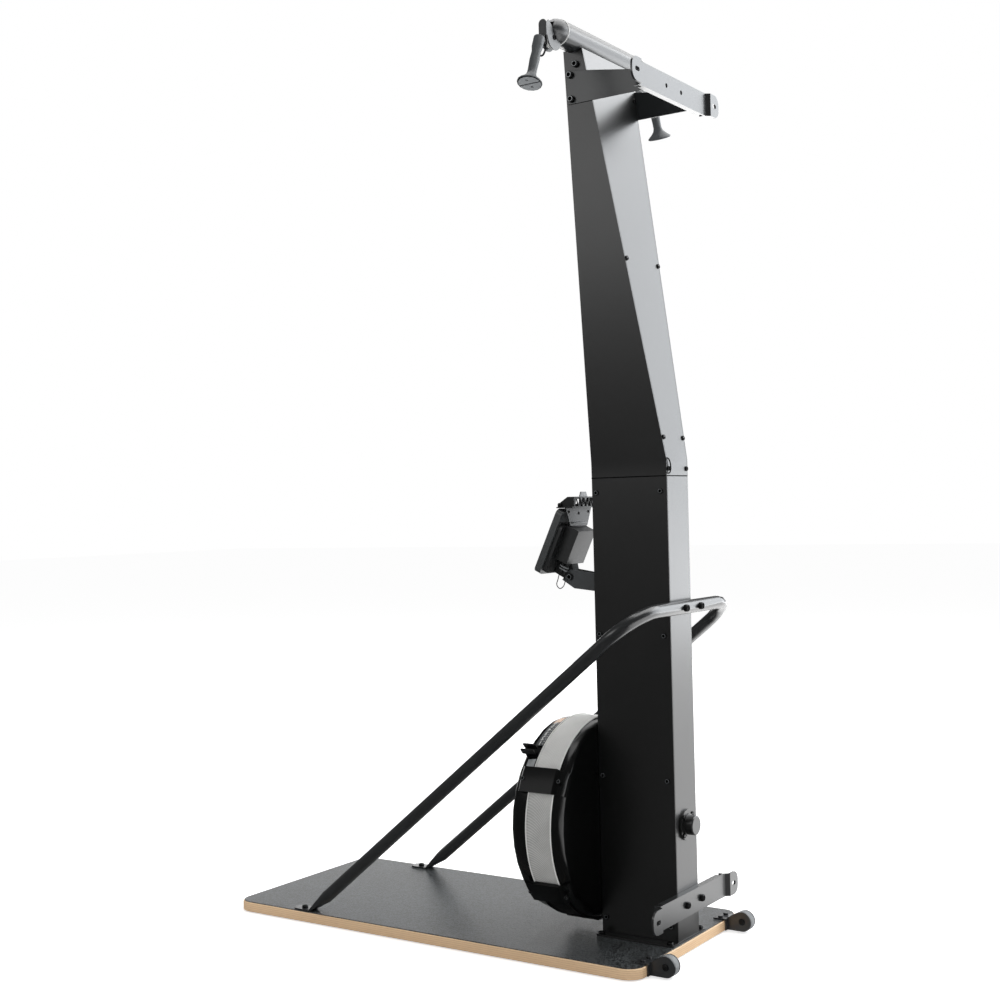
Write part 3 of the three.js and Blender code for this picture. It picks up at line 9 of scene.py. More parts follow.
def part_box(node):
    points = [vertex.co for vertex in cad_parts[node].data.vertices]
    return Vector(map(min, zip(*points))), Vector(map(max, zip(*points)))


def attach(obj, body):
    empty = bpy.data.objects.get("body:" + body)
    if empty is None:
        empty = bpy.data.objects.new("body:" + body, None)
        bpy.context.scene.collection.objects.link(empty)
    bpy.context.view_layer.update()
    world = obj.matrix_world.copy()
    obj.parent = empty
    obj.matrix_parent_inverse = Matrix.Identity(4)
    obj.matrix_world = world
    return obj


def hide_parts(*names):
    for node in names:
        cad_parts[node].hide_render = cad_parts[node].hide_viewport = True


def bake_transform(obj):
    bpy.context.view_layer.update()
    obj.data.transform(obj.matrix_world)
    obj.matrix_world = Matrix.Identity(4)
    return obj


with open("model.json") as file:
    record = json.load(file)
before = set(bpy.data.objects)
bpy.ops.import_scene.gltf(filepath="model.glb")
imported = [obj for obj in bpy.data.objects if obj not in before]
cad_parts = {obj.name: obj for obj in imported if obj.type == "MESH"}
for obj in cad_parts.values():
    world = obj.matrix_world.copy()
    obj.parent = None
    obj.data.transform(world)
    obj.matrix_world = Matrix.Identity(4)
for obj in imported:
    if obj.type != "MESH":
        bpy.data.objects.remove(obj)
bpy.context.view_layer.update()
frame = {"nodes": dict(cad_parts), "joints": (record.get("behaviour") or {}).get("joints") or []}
nodes = frame["nodes"]

# Camera. It stands at hip height behind the machine's right rear corner and looks level across it,
# rolled a little, with its whole place and lens taken from the photograph's perspective.
camera_place = (3.0553, 2.1134, 1.0463)
yaw, pitch, roll = math.radians(33.95), math.radians(0.335), math.radians(-1.40)
ahead = Vector((-math.cos(yaw) * math.cos(pitch), -math.sin(yaw) * math.cos(pitch), math.sin(pitch)))
level = Vector((-math.sin(yaw), math.cos(yaw), 0))
upright = level.cross(ahead)
right = level * math.cos(roll) + upright * math.sin(roll)
up = upright * math.cos(roll) - level * math.sin(roll)
facing = Matrix((right, up, -ahead)).transposed().to_4x4()
camera = bpy.data.objects.new("camera", bpy.data.cameras.new("camera"))
camera.matrix_world = Matrix.Translation(camera_place) @ facing
camera.data.lens = 52.23
camera.data.sensor_width = 36
camera.data.clip_end = 100
bpy.context.scene.collection.objects.link(camera)
bpy.context.scene.camera = camera


# Cords. Each pull cord leaves its pulley, which turns with the swivel, and ends in the handle, so it
# bends between the two; a braid of fine diagonal strands covers it. The sensor lead is a thin smooth
# wire that loops between the two plugs under the monitor.
class Value:
    """A shader socket that takes part in sums, so that a pattern is written as a formula."""

    def __init__(self, tree, socket=None):
        self.tree = tree
        self.socket = socket

    def add(self, kind, inputs, output=0, **settings):
        node = self.tree.nodes.new("ShaderNode" + kind)
        for name, setting in settings.items():
            setattr(node, name, setting)
        for name, value in inputs.items():
            if isinstance(value, Value):
                self.tree.links.new(value.socket, node.inputs[name])
            elif value is not None:
                node.inputs[name].default_value = value
        return Value(self.tree, node.outputs[output] if node.outputs else None)

    def sum(self, operation, a, b=None):
        return self.add("Math", {0: a, 1: b}, operation=operation)

    def __add__(self, other):
        return self.sum("ADD", self, other)

    def __sub__(self, other):
        return self.sum("SUBTRACT", self, other)

    def __rsub__(self, other):
        return self.sum("SUBTRACT", other, self)

    def __mul__(self, other):
        return self.sum("MULTIPLY", self, other)

    def __pow__(self, other):
        return self.sum("POWER", self, other)

    def __rpow__(self, other):
        return self.sum("POWER", other, self)

    def __lt__(self, other):
        return self.sum("LESS_THAN", self, other)

    def __gt__(self, other):
        return self.sum("GREATER_THAN", self, other)

    __radd__ = __add__
    __rmul__ = __mul__

    def part(self, axis):
        return self.add("SeparateXYZ", {0: self}, output=axis)

    def stretched(self, x, y, z):
        return self.add("VectorMath", {0: self, 1: (x, y, z)}, operation="MULTIPLY")

    def noise(self, scale, detail=2.0):
        return self.add("TexNoise", {"Vector": self, "Scale": scale, "Detail": detail})

    def ramp(self, low, high):
        inputs = {0: self, 1: low, 2: high, 3: 0.0, 4: 1.0}
        return self.add("MapRange", inputs, interpolation_type="SMOOTHSTEP")

    def wave(self, period):
        return self.sum("SINE", self * (2 * math.pi / period)) * 0.5 + 0.5

    def between(self, low, high):
        return self.add("Mix", {0: self, 6: low, 7: high}, output=2, data_type="RGBA")


def color(hexadecimal):
    parts = [int(hexadecimal[i : i + 2], 16) / 255 for i in (0, 2, 4)]
    return (*(p / 12.92 if p < 0.04045 else ((p + 0.055) / 1.055) ** 2.4 for p in parts), 1)


def finish(name, make):
    material = bpy.data.materials.new(name)
    material.use_nodes = True
    tree = material.node_tree
    shader = tree.nodes["Principled BSDF"]
    place = Value(tree).add("TexCoord", {}, output="Object")
    for name, value in make(place).items():
        if name == "Bump":
            height, distance = value
            value = height.add("Bump", {"Height": height, "Distance": distance, "Strength": 1.0})
            name = "Normal"
        if isinstance(value, Value):
            tree.links.new(value.socket, shader.inputs[name])
        else:
            shader.inputs[name].default_value = value
    return material


def piece(name, mesh, material, body, replaces=()):
    made = bpy.data.objects.new(name, mesh)
    bpy.context.scene.collection.objects.link(made)
    made.data.materials.append(material)
    made.data.shade_smooth()
    if body:
        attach(made, body)
    if replaces:
        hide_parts(*replaces)
    return made


def lofted(rings):
    """A solid skinned over open rings of the same count, with its first and last ring closed."""
    shape = bmesh.new()
    made = [[shape.verts.new(point) for point in ring] for ring in rings]
    count = len(made[0])
    for low, high in zip(made, made[1:]):
        for i in range(count):
            j = (i + 1) % count
            shape.faces.new((low[i], low[j], high[j], high[i]))
    shape.faces.new(made[0][::-1])
    shape.faces.new(made[-1])
    return meshed(shape)


def meshed(shape):
    bmesh.ops.recalc_face_normals(shape, faces=shape.faces)
    mesh = bpy.data.meshes.new("made")
    shape.to_mesh(mesh)
    shape.free()
    return mesh


def tube(points, radius, sides=16):
    points = [Vector(p) for p in points]
    across = Vector((0, 1, 0))
    rings = []
    for i, point in enumerate(points):
        along = (points[min(i + 1, len(points) - 1)] - points[max(i - 1, 0)]).normalized()
        across = (across - along * across.dot(along)).normalized()
        other = along.cross(across)
        turns = [2 * math.pi * j / sides for j in range(sides)]
        rings.append([point + radius * (across * math.cos(t) + other * math.sin(t)) for t in turns])
    return lofted(rings)


def smoothed(points, steps):
    """A curve through all the points, with as many steps between each two."""
    points = [Vector(p) for p in points]
    ends = [2 * points[0] - points[1], *points, 2 * points[-1] - points[-2]]
    line = []
    for a, b, c, d in zip(ends, ends[1:], ends[2:], ends[3:]):
        for i in range(steps):
            t = i / steps
            line.append(0.5 * (2 * b + (c - a) * t + (2 * a - 5 * b + 4 * c - d) * t**2
                               + (3 * b - a - 3 * c + d) * t**3))
    return [*line, points[-1]]


def length_of(line):
    return sum((b - a).length for a, b in zip(line, line[1:]))


def middle(node):
    low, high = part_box(node)
    return (low + high) / 2


def braid(place):
    pitch, slant = 0.0021, 0.9
    rising = (place.part(2) + place.part(0) * slant).wave(pitch)
    falling = (place.part(2) - place.part(0) * slant).wave(pitch)
    strands = rising * falling
    return {
        "Base Color": strands.between(color("0d0e0f"), color("2e3133")),
        "Roughness": 0.85,
        "Bump": (strands, 0.0003),
    }


cord_finish = finish("braided_cord", braid)
lead_finish = finish("lead_jacket", lambda place: {
    "Base Color": place.noise(300).between(color("101112"), color("1d1f21")),
    "Roughness": 0.45,
})
joint_places = {joint["name"]: Vector(joint["pos_m"]) for joint in frame["joints"] if "pos_m" in joint}
scene_sides = (("near", 1), ("far", -1))
cord_radius, pulley_groove, idler_groove, spool_groove = 0.0022, 0.019, 0.014, 0.025
cord_under_bar_axis, head_gap, grip_overlap = 0.0025, 0.00025, 0.0008
bar_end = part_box("crossbar")[1].x
quarter_turn = [math.pi / 2 * j / 12 for j in range(13)]
sag_shares = ((0, 0), (0.03, 0.3), (0.2, 0.66), (0.55, 0.92), (1, 1))
for label, side in scene_sides:
    swivel = joint_places["swivel_" + label + "_turn"]
    pulley = middle("end_pulley_" + label)
    idler = middle("idler_pulley_" + label)
    spool = middle("cord_spool_" + label)
    low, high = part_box("pull_cord_" + label)
    start = pulley + Vector((side * pulley_groove, 0, 0))
    entry = Vector((side * (max(abs(low.x), abs(high.x)) - cord_radius), pulley.y, low.z + grip_overlap))
    route = smoothed([(start.x + (entry.x - start.x) * a, pulley.y, start.z + (entry.z - start.z) * b)
                      for a, b in sag_shares], steps=8)
    pull = piece("pull_cord_braid_" + label, tube(route, cord_radius), cord_finish, None,
                 ["pull_cord_" + label])
    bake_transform(pull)
    length_of(route)
    cord_z = swivel.z - cord_under_bar_axis
    over = [pulley + pulley_groove * Vector((side * math.sin(t), 0, math.cos(t))) for t in quarter_turn]
    head_route = [(swivel.x + side * head_gap, swivel.y, cord_z), *over]
    piece("cord_over_pulley_" + label, tube(head_route, cord_radius), cord_finish,
          "swivel_" + label, ["cord_wrap_" + label])
    round_idler = [idler + idler_groove * Vector((-side * math.cos(t), 0, math.sin(t)))
                   for t in quarter_turn]
    column_route = [(side * spool_groove, spool.y, spool.z), *round_idler, (side * bar_end, swivel.y, cord_z)]
    piece("cord_in_column_" + label, tube(column_route, cord_radius), cord_finish,
          "frame", ["drive_cord_" + label])
lead_x, lead_radius = 0.024, 0.0011
lead_route = [(lead_x, y / 1000, z / 1000) for y, z in (
    (255.8, 876.5), (258.2, 869.3), (258.4, 864), (257.2, 858.9), (255, 854.1), (251.5, 850.2),
    (247.1, 847.2), (242, 846.9), (237.8, 850.1), (234.9, 854.4), (234.8, 859.6), (236.6, 864.6),
    (238.6, 869.5), (240.1, 874.6), (241.7, 879.6), (243.6, 884.5))]
lead_line = smoothed(lead_route, steps=3)
lead = piece("sensor_lead_wire", tube(lead_line, lead_radius, sides=10), lead_finish, "monitor",
             ["sensor_lead"])
length_of(lead_line)


# Floor stand. A birch plywood board with a speckled grip sheet bonded on it stands on six rubber pads;
# the strut frame and the foot plate are bolted down to it with dark socket screws.
def dress(material, *names, edge=0.0005, smooth=40):
    """Gives frame nodes their finish, and rounds their edges a little."""
    for name in names:
        node = nodes[name]
        node.data.materials.clear()
        node.data.materials.append(material)
        node.data.shade_smooth()
        weld = node.modifiers.new("weld", "WELD")
        weld.merge_threshold = 0.00002
        bevel = node.modifiers.new("edges", "BEVEL")
        bevel.width = edge
        bevel.segments = 2
        bevel.limit_method = "ANGLE"
        bevel.angle_limit = math.radians(smooth)
        bevel.use_clamp_overlap = True
        even = node.modifiers.new("even", "WEIGHTED_NORMAL")
        even.keep_sharp = False
        even.weight = 60


def plywood(place):
    board_top, ply_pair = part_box("deck_board")[1].z, 0.0048
    grain = place.stretched(1, 1, 26).noise(70, 5) * 0.6 + place.stretched(14, 14, 60).noise(60, 3) * 0.4
    drift = place.noise(7) * 0.003
    plies = (place.part(2) + drift).wave(ply_pair) ** 6
    # top is a painted highlight: a lighter band along the board's top edge.
    top = place.part(2).ramp(board_top - 0.0008, board_top + 0.0006)
    tone = (grain * 0.5 + 0.45 - plies * 0.16 + top * 0.35).ramp(0.1, 0.95)
    return {
        "Base Color": tone.between(color("b98150"), color("ffdfb6")),
        "Roughness": 0.5,
        "Bump": (tone, 0.0002),
    }


def speckled(place):
    grains = place.noise(290, 2)
    coarse = place.noise(150, 2)
    patch = place.noise(3.1, 3)
    shade = (grains * 0.7 + coarse * 0.3 + patch * 0.08).ramp(0.48, 0.6)
    return {
        "Base Color": shade.between(color("070808"), color("5c6062")),
        "Roughness": 0.33 + shade * 0.1,
        "Specular IOR Level": 1.0,
        "Bump": (grains, 0.0006),
    }


def coated(base, sheen, rough=0.3, coat=0.35):
    def make(place):
        peel = place.noise(900, 2)
        cloud = place.noise(6, 3)
        return {
            "Base Color": cloud.between(color(base), color(sheen)),
            "Roughness": rough + peel * 0.05 + cloud * 0.04,
            "Specular IOR Level": 1.0,
            "Coat Weight": coat,
            "Coat Roughness": 0.22,
            "Bump": (peel, 0.00005),
        }
    return make


def turned(shape, profile, centre, axis, sides, finishes=()):
    """Adds a turned solid: the profile pairs each radius with its height along the axis."""
    axis = Vector(axis).normalized()
    across = Vector((0, 1, 0)) if abs(axis.y) < 0.9 else Vector((0, 0, 1))
    across = (across - axis * across.dot(axis)).normalized()
    other = axis.cross(across)
    angles = [2 * math.pi * (i + 0.5) / sides for i in range(sides)]
    rings = []
    for radius, height in profile:
        foot = Vector(centre) + axis * height
        rings.append([shape.verts.new(foot + radius * (across * math.cos(a) + other * math.sin(a)))
                      for a in angles])
    shape.faces.new(rings[0][::-1])
    for k, (low, high) in enumerate(zip(rings, rings[1:])):
        for i in range(sides):
            j = (i + 1) % sides
            face = shape.faces.new((low[i], low[j], high[j], high[i]))
            face.material_index = finishes[k] if finishes else 0
    shape.faces.new(rings[-1]).material_index = finishes[-1] if finishes else 0


def heads(name, body, places, radius=0.0058, height=0.0034, sides=24, rim=None):
    """Screw or bolt heads with a socket in each: places pairs a point on the surface with its direction."""
    # Each socket is a shallow recess coloured near-black, painted shade for a deeper hole; the ring round it
    # takes the given rim finish, a painted highlight, or else the same near-black.
    sunk, socket_depth = 0.0008, 0.0005
    profile = [(radius, -sunk), (radius, height * 0.55), (radius * 0.94, height * 0.85),
               (radius * 0.8, height), (radius * 0.62, height), (radius * 0.58, height - socket_depth)]
    shape = bmesh.new()
    for point, axis in places:
        turned(shape, profile, point, axis, sides, (0, 0, 0, 2, 1, 1))
    made = piece(name, meshed(shape), screw_finish, body)
    made.data.materials.append(painted_shade_finish)
    made.data.materials.append(rim or painted_shade_finish)
    for polygon in made.data.polygons:
        polygon.use_smooth = sides > 8
    return made


birch = finish("birch_plywood", plywood)
grip = finish("grip_sheet", speckled)
black_coat = finish("black_powder_coat", coated("0d0e0e", "141616"))
# The tube coat is the black powder coat made lighter and glossier: the extra lightness is painted light.
tube_coat = finish("tube_powder_coat", coated("1b1d1e", "242628", rough=0.24, coat=0.5))
screw_finish = finish("black_screw", lambda place: {
    "Base Color": place.noise(300).between(color("0a0b0b"), color("161718")),
    "Roughness": 0.4 + place.noise(900) * 0.1,
    "Specular IOR Level": 0.35,
})
# The light and mid grey rings on screw heads are painted highlights.
painted_highlight_finish = finish("painted_highlight_screw_rim", lambda place: {
    "Base Color": place.noise(300).between(color("8d9092"), color("c4c7c9")),
    "Roughness": 0.4,
})
painted_dim_highlight_finish = finish("painted_dim_screw_rim_highlight", lambda place: {
    "Base Color": place.noise(300).between(color("505355"), color("74787a")),
    "Roughness": 0.4,
})
# Near-black for screw sockets, the seam strip and the sheet under the handle feet: painted shade.
painted_shade_finish = finish("painted_shade_black", lambda place: {
    "Base Color": place.noise(500).between(color("020202"), color("070808")),
    "Roughness": 0.8,
    "Specular IOR Level": 0.1,
})
dress(birch, "deck_board", edge=0.0004)
dress(grip, "deck_grip")
dress(tube_coat, "strut_frame", smooth=50)
dress(black_coat, "base_flange")
both_sides = (1, -1)
upward, backward = (0, 0, 1), (0, 1, 0)
foot_bolt_x, foot_bolt_y, foot_top = 0.248, -0.4114, 0.0333
top_bolt_x, top_bolt_y, top_bolt_z = 0.038, 0.5911, 0.806
plate_bolt_x, plate_bolt_rows, plate_top = 0.076, (0.5495, 0.3685), 0.033
heads("strut_foot_bolts", "frame",
      [((side * foot_bolt_x, foot_bolt_y, foot_top), upward) for side in both_sides],
      radius=0.0078, height=0.0052)
heads("strut_top_bolts", "frame",
      [((side * top_bolt_x, top_bolt_y, top_bolt_z), backward) for side in both_sides],
      radius=0.0084, height=0.0085)
heads("foot_plate_bolts", "frame", [((side * plate_bolt_x, y, plate_top), upward)
                                    for side in both_sides for y in plate_bolt_rows],
      radius=0.0082, height=0.0056, sides=6)

# Transport wheels. Grey rubber treads on nylon hubs turn on pins between the cheeks of two folded steel
# brackets, which are screwed on the board at its rear edge.
wheel = middle("wheel_near")
tread_from, tread_full = 0.00046, 0.00052


def tread(place):
    """Grey rubber outside the dark hub: tread_from and tread_full are squares of a radius."""
    rings = place.part(0).wave(0.0023)
    radius_squared = (place.part(1) - wheel.y) ** 2 + (place.part(2) - wheel.z) ** 2
    tone = (place.noise(60, 4) * 0.5 + rings * 0.3 + 0.2) * radius_squared.ramp(tread_from, tread_full)
    return {
        "Base Color": tone.between(color("141515"), color("b4b7b9")),
        "Roughness": 0.7,
        "Bump": (rings, 0.0003),
    }


dress(finish("wheel_tread", tread), "wheel_near", "wheel_far", edge=0.0012)
dress(finish("bracket_coat", coated("26282a", "303234")), "wheel_bracket_near", "wheel_bracket_far")
screw_shift, screw_y, bracket_top = 0.0144, 0.5525, 0.0323
heads("wheel_bracket_screws", "frame", [((side * wheel.x + shift, screw_y, bracket_top), upward)
                                        for side in both_sides for shift in (-screw_shift, screw_shift)],
      radius=0.0062, height=0.0036)
cheek_out = 0.013
pin_cap = [(0.0082, 0), (0.0082, 0.0012), (0.0066, 0.0016), (0.0062, 0.0016), (0.0062, 0.0046),
           (0.0052, 0.0055), (0.003, 0.0055)]
shape = bmesh.new()
for side in both_sides:
    for out in (-1, 1):
        turned(shape, pin_cap, (side * wheel.x + out * cheek_out, wheel.y, wheel.z), (out, 0, 0), sides=24)
piece("wheel_pin_caps", meshed(shape), screw_finish, "frame")

# Column. Folded sheet steel: a lower frame closed by two screwed side panels, and a flared upper column
# slid over a sleeve at the seam, which has a matt black strip, a painted shadow line, and a wire hook,
# and closed at the back by a screwed cover. Two steel brackets fix it to a wall.
dress(black_coat, "lower_column", "side_panel_near", "side_panel_far", "splice_sleeve", "upper_column",
      "rear_cover")
dress(finish("arm_powder_coat", coated("1c1f21", "25292b")), "arm_near", "arm_far")
dress(tube_coat, "upper_wall_bracket", "lower_wall_bracket")
side_face, rear_face, flare_from = 0.054, 0.5595, 1.151
side_slope, rear_slope = 0.06804, 0.16557


def half_width(z):
    return side_face + max(z - flare_from, 0) * side_slope


def rear_at(z):
    return rear_face - max(z - flare_from, 0) * rear_slope


# The seam strip is matt black: a painted shadow line round the seam.
column_y, seam_low, seam_high = 0.459, 1.1118, 1.1142
inside, outside = 0.99, 1.0035
seam = [(0.0543, 0.3585), (0.0543, 0.5545), (0.0525, 0.5592), (0.0485, 0.5598)]
seam += [(-x, y) for x, y in reversed(seam)]
shape = bmesh.new()
rows = [[shape.verts.new((x * grow, column_y + (y - column_y) * grow, z)) for x, y in seam]
        for grow, z in ((inside, seam_low), (outside, seam_low), (outside, seam_high), (inside, seam_high))]
for i in range(len(seam) - 1):
    for row, after in zip(rows, [*rows[1:], rows[0]]):
        shape.faces.new((row[i], row[i + 1], after[i + 1], after[i]))
shape.faces.new([row[0] for row in rows])
shape.faces.new([row[-1] for row in rows][::-1])
piece("seam_painted_shadow_line", meshed(shape), painted_shade_finish, "frame").data.shade_flat()

hook = smoothed([(0.0508, 0.5603, 1.1545), (0.0468, 0.5622, 1.1515), (0.0425, 0.5632, 1.1435),
                 (0.0402, 0.5634, 1.1340), (0.0415, 0.5632, 1.1250), (0.0445, 0.5622, 1.1195),
                 (0.0480, 0.5604, 1.1185)], steps=5)
piece("seam_hook", tube(hook, radius=0.0016, sides=10), screw_finish, "frame")

panel_columns, panel_rows = (0.3705, 0.542), (1.078, 0.7413, 0.4047, 0.068)
cover_rows, cover_edge = (1.203, 1.623, 2.043), 0.008
seam_screw_x, seam_screw_z = 0.046, 1.130
saddle_y, saddle_z = 0.3807, 2.086
arm_y, arm_rows, arm_thickness = 0.3658, (2.0063, 2.0623), 0.0033
bracket_x, bracket_y, bracket_z = 0.0375, 0.5755, 0.118
cap_radius, cap_height = 0.0082, 0.0095
heads("side_panel_screws", "frame", [((side * side_face, y, z), (side, 0, 0)) for side in both_sides
                                     for y in panel_columns for z in panel_rows],
      radius=0.0062, height=0.0036, rim=painted_dim_highlight_finish)
heads("seam_screws", "frame",
      [((side * seam_screw_x, rear_face, seam_screw_z), backward) for side in both_sides])
heads("rear_cover_screws", "frame",
      [((side * (half_width(z) - cover_edge), rear_at(z), z), (0, 1, rear_slope))
       for side in both_sides for z in cover_rows])
heads("saddle_bolts", "frame",
      [((side * half_width(saddle_z), saddle_y, saddle_z), (side, 0, 0)) for side in both_sides],
      radius=cap_radius, height=cap_height, rim=painted_highlight_finish)
heads("arm_bolts", "frame", [((side * (half_width(z) + arm_thickness), arm_y, z), (side, 0, 0))
                             for side in both_sides for z in arm_rows],
      radius=cap_radius, height=cap_height, rim=painted_highlight_finish)
heads("lower_bracket_bolts", "frame",
      [((side * bracket_x, bracket_y, bracket_z), backward) for side in both_sides],
      radius=0.0086, height=0.0075, sides=6)

# Crossbar. A steel tube welded on the saddle; a domed cap with a riveted pulley fork swivels on each end,
# on a thin bearing ring. The rings, pulleys and spools are white nylon.
# This is the black powder coat made lighter: painted light on the crossbar, caps, forks and phone clamp.
lightened_black_coat = finish("bar_powder_coat", coated("232527", "2c2f31", rough=0.34, coat=0.3))
dress(lightened_black_coat, "crossbar", "swivel_cap_near", "swivel_cap_far", "pulley_fork_near", "pulley_fork_far",
      smooth=50)
dress(black_coat, "saddle_block")
fork_cheek = 0.0105
for label, side in scene_sides:
    pulley = middle("end_pulley_" + label)
    heads("fork_rivets_" + label, "swivel_" + label,
          [((pulley.x, pulley.y + out * fork_cheek, pulley.z), (0, out, 0)) for out in (-1, 1)],
          radius=0.0062, height=0.0022)


def moulded(base, light, rough, grain=0.0001, gloss=0.5):
    def make(place):
        texture = place.noise(700, 3)
        return {
            "Base Color": place.noise(20, 3).between(color(base), color(light)),
            "Roughness": rough + texture * 0.08,
            "Specular IOR Level": gloss,
            "Bump": (texture, grain),
        }
    return make


def closed_ring(rings):
    """A solid skinned over rings of the same count that go all the way round."""
    shape = bmesh.new()
    made = [[shape.verts.new(point) for point in ring] for ring in rings]
    for ring, after in zip(made, [*made[1:], made[0]]):
        for i in range(len(ring)):
            j = (i + 1) % len(ring)
            shape.faces.new((ring[i], ring[j], after[j], after[i]))
    return meshed(shape)


nylon = finish("white_nylon", moulded("d9dad8", "f0f0ee", rough=0.45))
dress(nylon, "bearing_ring_near", "bearing_ring_far", "end_pulley_near", "end_pulley_far",
      "idler_pulley_near", "idler_pulley_far", "cord_spool_near", "cord_spool_far")
lip_inset, lip_height, lip_width = 0.0006, 0.0016, 0.0019
for label, side in scene_sides:
    low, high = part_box("bearing_ring_" + label)
    centre, reach = (low + high) / 2, (high.y - low.y) / 2 - lip_inset
    rings = []
    for i in range(96):
        around = Vector((0, math.cos(2 * math.pi * i / 96), math.sin(2 * math.pi * i / 96)))
        section = [(lip_width * math.sin(t), reach + lip_height * math.cos(t))
                   for t in (math.pi * j / 5 for j in range(10))]
        rings.append([centre + around * out + Vector((along, 0, 0)) for along, out in section])
    piece("bearing_ring_lip_" + label, closed_ring(rings), nylon, "frame")

# Pull handles. Moulded grey rubber stems; the oval foot is closed by a two-part plastic cover plate on a
# thin near-black sheet, painted shade in the split and round the edge, with a screw in each half.
handle_rubber = finish("grip_rubber", moulded("44474a", "565a5c", rough=0.42, gloss=0.8))
dress(handle_rubber, "handle_near", "handle_far", smooth=50)
foot_cover = finish("handle_foot_cover", moulded("8b8e90", "9da0a2", rough=0.5, grain=0.00005))
tilt = math.radians(22)
foot_out, foot_down = 0.12695, 0.147
shade_sheet_across, shade_sheet_along, shade_sheet_sides = 0.0266, 0.0281, 48
shade_sheet_sunk, shade_sheet_top, shade_sheet_narrowing = 0.0006, 0.0003, 0.995
cover_across, cover_along, cover_steps = 0.0236, 0.0264, 24
half_gap, cover_shift = 0.0015, 0.001
cover_sunk, cover_top, cover_narrowing = 0.0004, 0.0009, 0.985
foot_screw_reach = 0.0125
for label, side in scene_sides:
    swivel = joint_places["swivel_" + label + "_turn"]
    down = Vector((side * math.sin(tilt), 0, -math.cos(tilt)))
    out = Vector((side * math.cos(tilt), 0, math.sin(tilt)))
    foot = swivel + Vector((side * foot_out, 0, -foot_down))
    # The first shape is the near-black sheet under the cover: painted shade in the split and round its edge.
    shape = bmesh.new()
    low, high = [], []
    for i in range(shade_sheet_sides):
        turn = 2 * math.pi * i / shade_sheet_sides
        flat = out * (shade_sheet_across * math.cos(turn)) + Vector((0, shade_sheet_along * math.sin(turn), 0))
        low.append(shape.verts.new(foot + flat - down * shade_sheet_sunk))
        high.append(shape.verts.new(foot + flat * shade_sheet_narrowing + down * shade_sheet_top))
    shape.faces.new(low)
    shape.faces.new(high)
    for i in range(shade_sheet_sides):
        j = (i + 1) % shade_sheet_sides
        shape.faces.new((low[i], low[j], high[j], high[i]))
    piece("handle_foot_painted_shade_sheet_" + label, meshed(shape), painted_shade_finish, "grip_" + label)
    shape = bmesh.new()
    for half in (-1, 1):
        low, high = [], []
        for i in range(cover_steps + 1):
            turn = math.pi * (i / cover_steps)
            for ring, grow, drop in ((low, 1.0, -cover_sunk), (high, cover_narrowing, cover_top)):
                reach = half * (half_gap + cover_across * grow * math.sin(turn)) - cover_shift
                flat = out * reach + Vector((0, cover_along * grow * math.cos(turn), 0))
                ring.append(shape.verts.new(foot + flat + down * drop))
        shape.faces.new(low)
        shape.faces.new(high)
        for i in range(len(low)):
            j = (i + 1) % len(low)
            shape.faces.new((low[i], low[j], high[j], high[i]))
    plate = piece("handle_foot_cover_" + label, meshed(shape), foot_cover, "grip_" + label)
    plate.data.shade_flat()
    heads("handle_foot_screws_" + label, "grip_" + label,
          [(foot + out * reach + down * cover_top, down) for reach in (-foot_screw_reach, foot_screw_reach)],
          radius=0.0026, height=0.0004, sides=16)

# Flywheel unit. Two moulded plastic shells clamp a woven wire band; five screwed clips hold them together,
# and the damper's lever runs over a scale of plain numbers on the front rim.
hub = Vector((0, 0, middle("flywheel_axle").z))
drum_radius, clip_from = 0.240, 0.24075
rim_start_y, rim_depth, rim_start_radius, rim_gain = 0.2375, 0.0294, 0.234, 0.006


def satin_shell(place):
    clip = (place.part(0) ** 2 + (place.part(2) - hub.z) ** 2) > clip_from**2
    return {
        "Base Color": place.noise(30, 3).between(color("050606"), color("090a0a")),
        "Roughness": 0.22 + place.noise(60) * 0.03 + clip * 0.1,
        "Specular IOR Level": 0.25,
        "Coat Weight": 0.42 - clip * 0.36,
        "Coat Roughness": 0.16,
        "Bump": (place.noise(900, 3), 0.00002),
    }


def woven(place):
    """Crossing wires under wider bands that bow a little; painted shade darkens them toward the foot and a
    painted highlight lightens them toward the top.
    """
    bow_middle, bow_depth = 0.262, 11.0
    band, wire_along, wire_round = 0.0066, 0.0034, 0.0031
    turn = place.add("Math", {0: place.part(2) - hub.z, 1: place.part(0)}, operation="ARCTAN2")
    bow = (place.part(1) - bow_middle) ** 2 * bow_depth
    bands = (turn * drum_radius + bow).wave(band)
    wires = place.part(1).wave(wire_along) * (turn * drum_radius).wave(wire_round)
    # low is painted shade toward the drum's foot, high a painted highlight toward its top.
    low = place.part(2).ramp(0.125, 0.155)
    high = place.part(2).ramp(0.3, 0.46)
    tone = (wires * 0.2 + bands * (0.2 - high * 0.16) + place.noise(25) * 0.15 + high * 0.4 + 0.25) * low
    return {
        "Base Color": tone.between(color("080808"), color("fbfbf8")),
        "Metallic": 0.05,
        "Roughness": 0.5,
        "Bump": (wires, 0.0005),
    }


def round_the_drum(radius, y, turn):
    return hub + Vector((radius * math.cos(turn), y, radius * math.sin(turn)))


def rim_radius(y):
    """The front rim narrows toward the user."""
    return rim_start_radius + rim_gain * (y - rim_start_y) / rim_depth


def hoop(radius, y, thick, wide):
    """A closed ring round the drum, oval in section."""
    section = [(radius + thick * math.cos(t), y + wide * math.sin(t))
               for t in (math.pi * j / 4 for j in range(8))]
    return closed_ring([[round_the_drum(r, along, math.pi * i / 90) for r, along in section]
                        for i in range(180)])


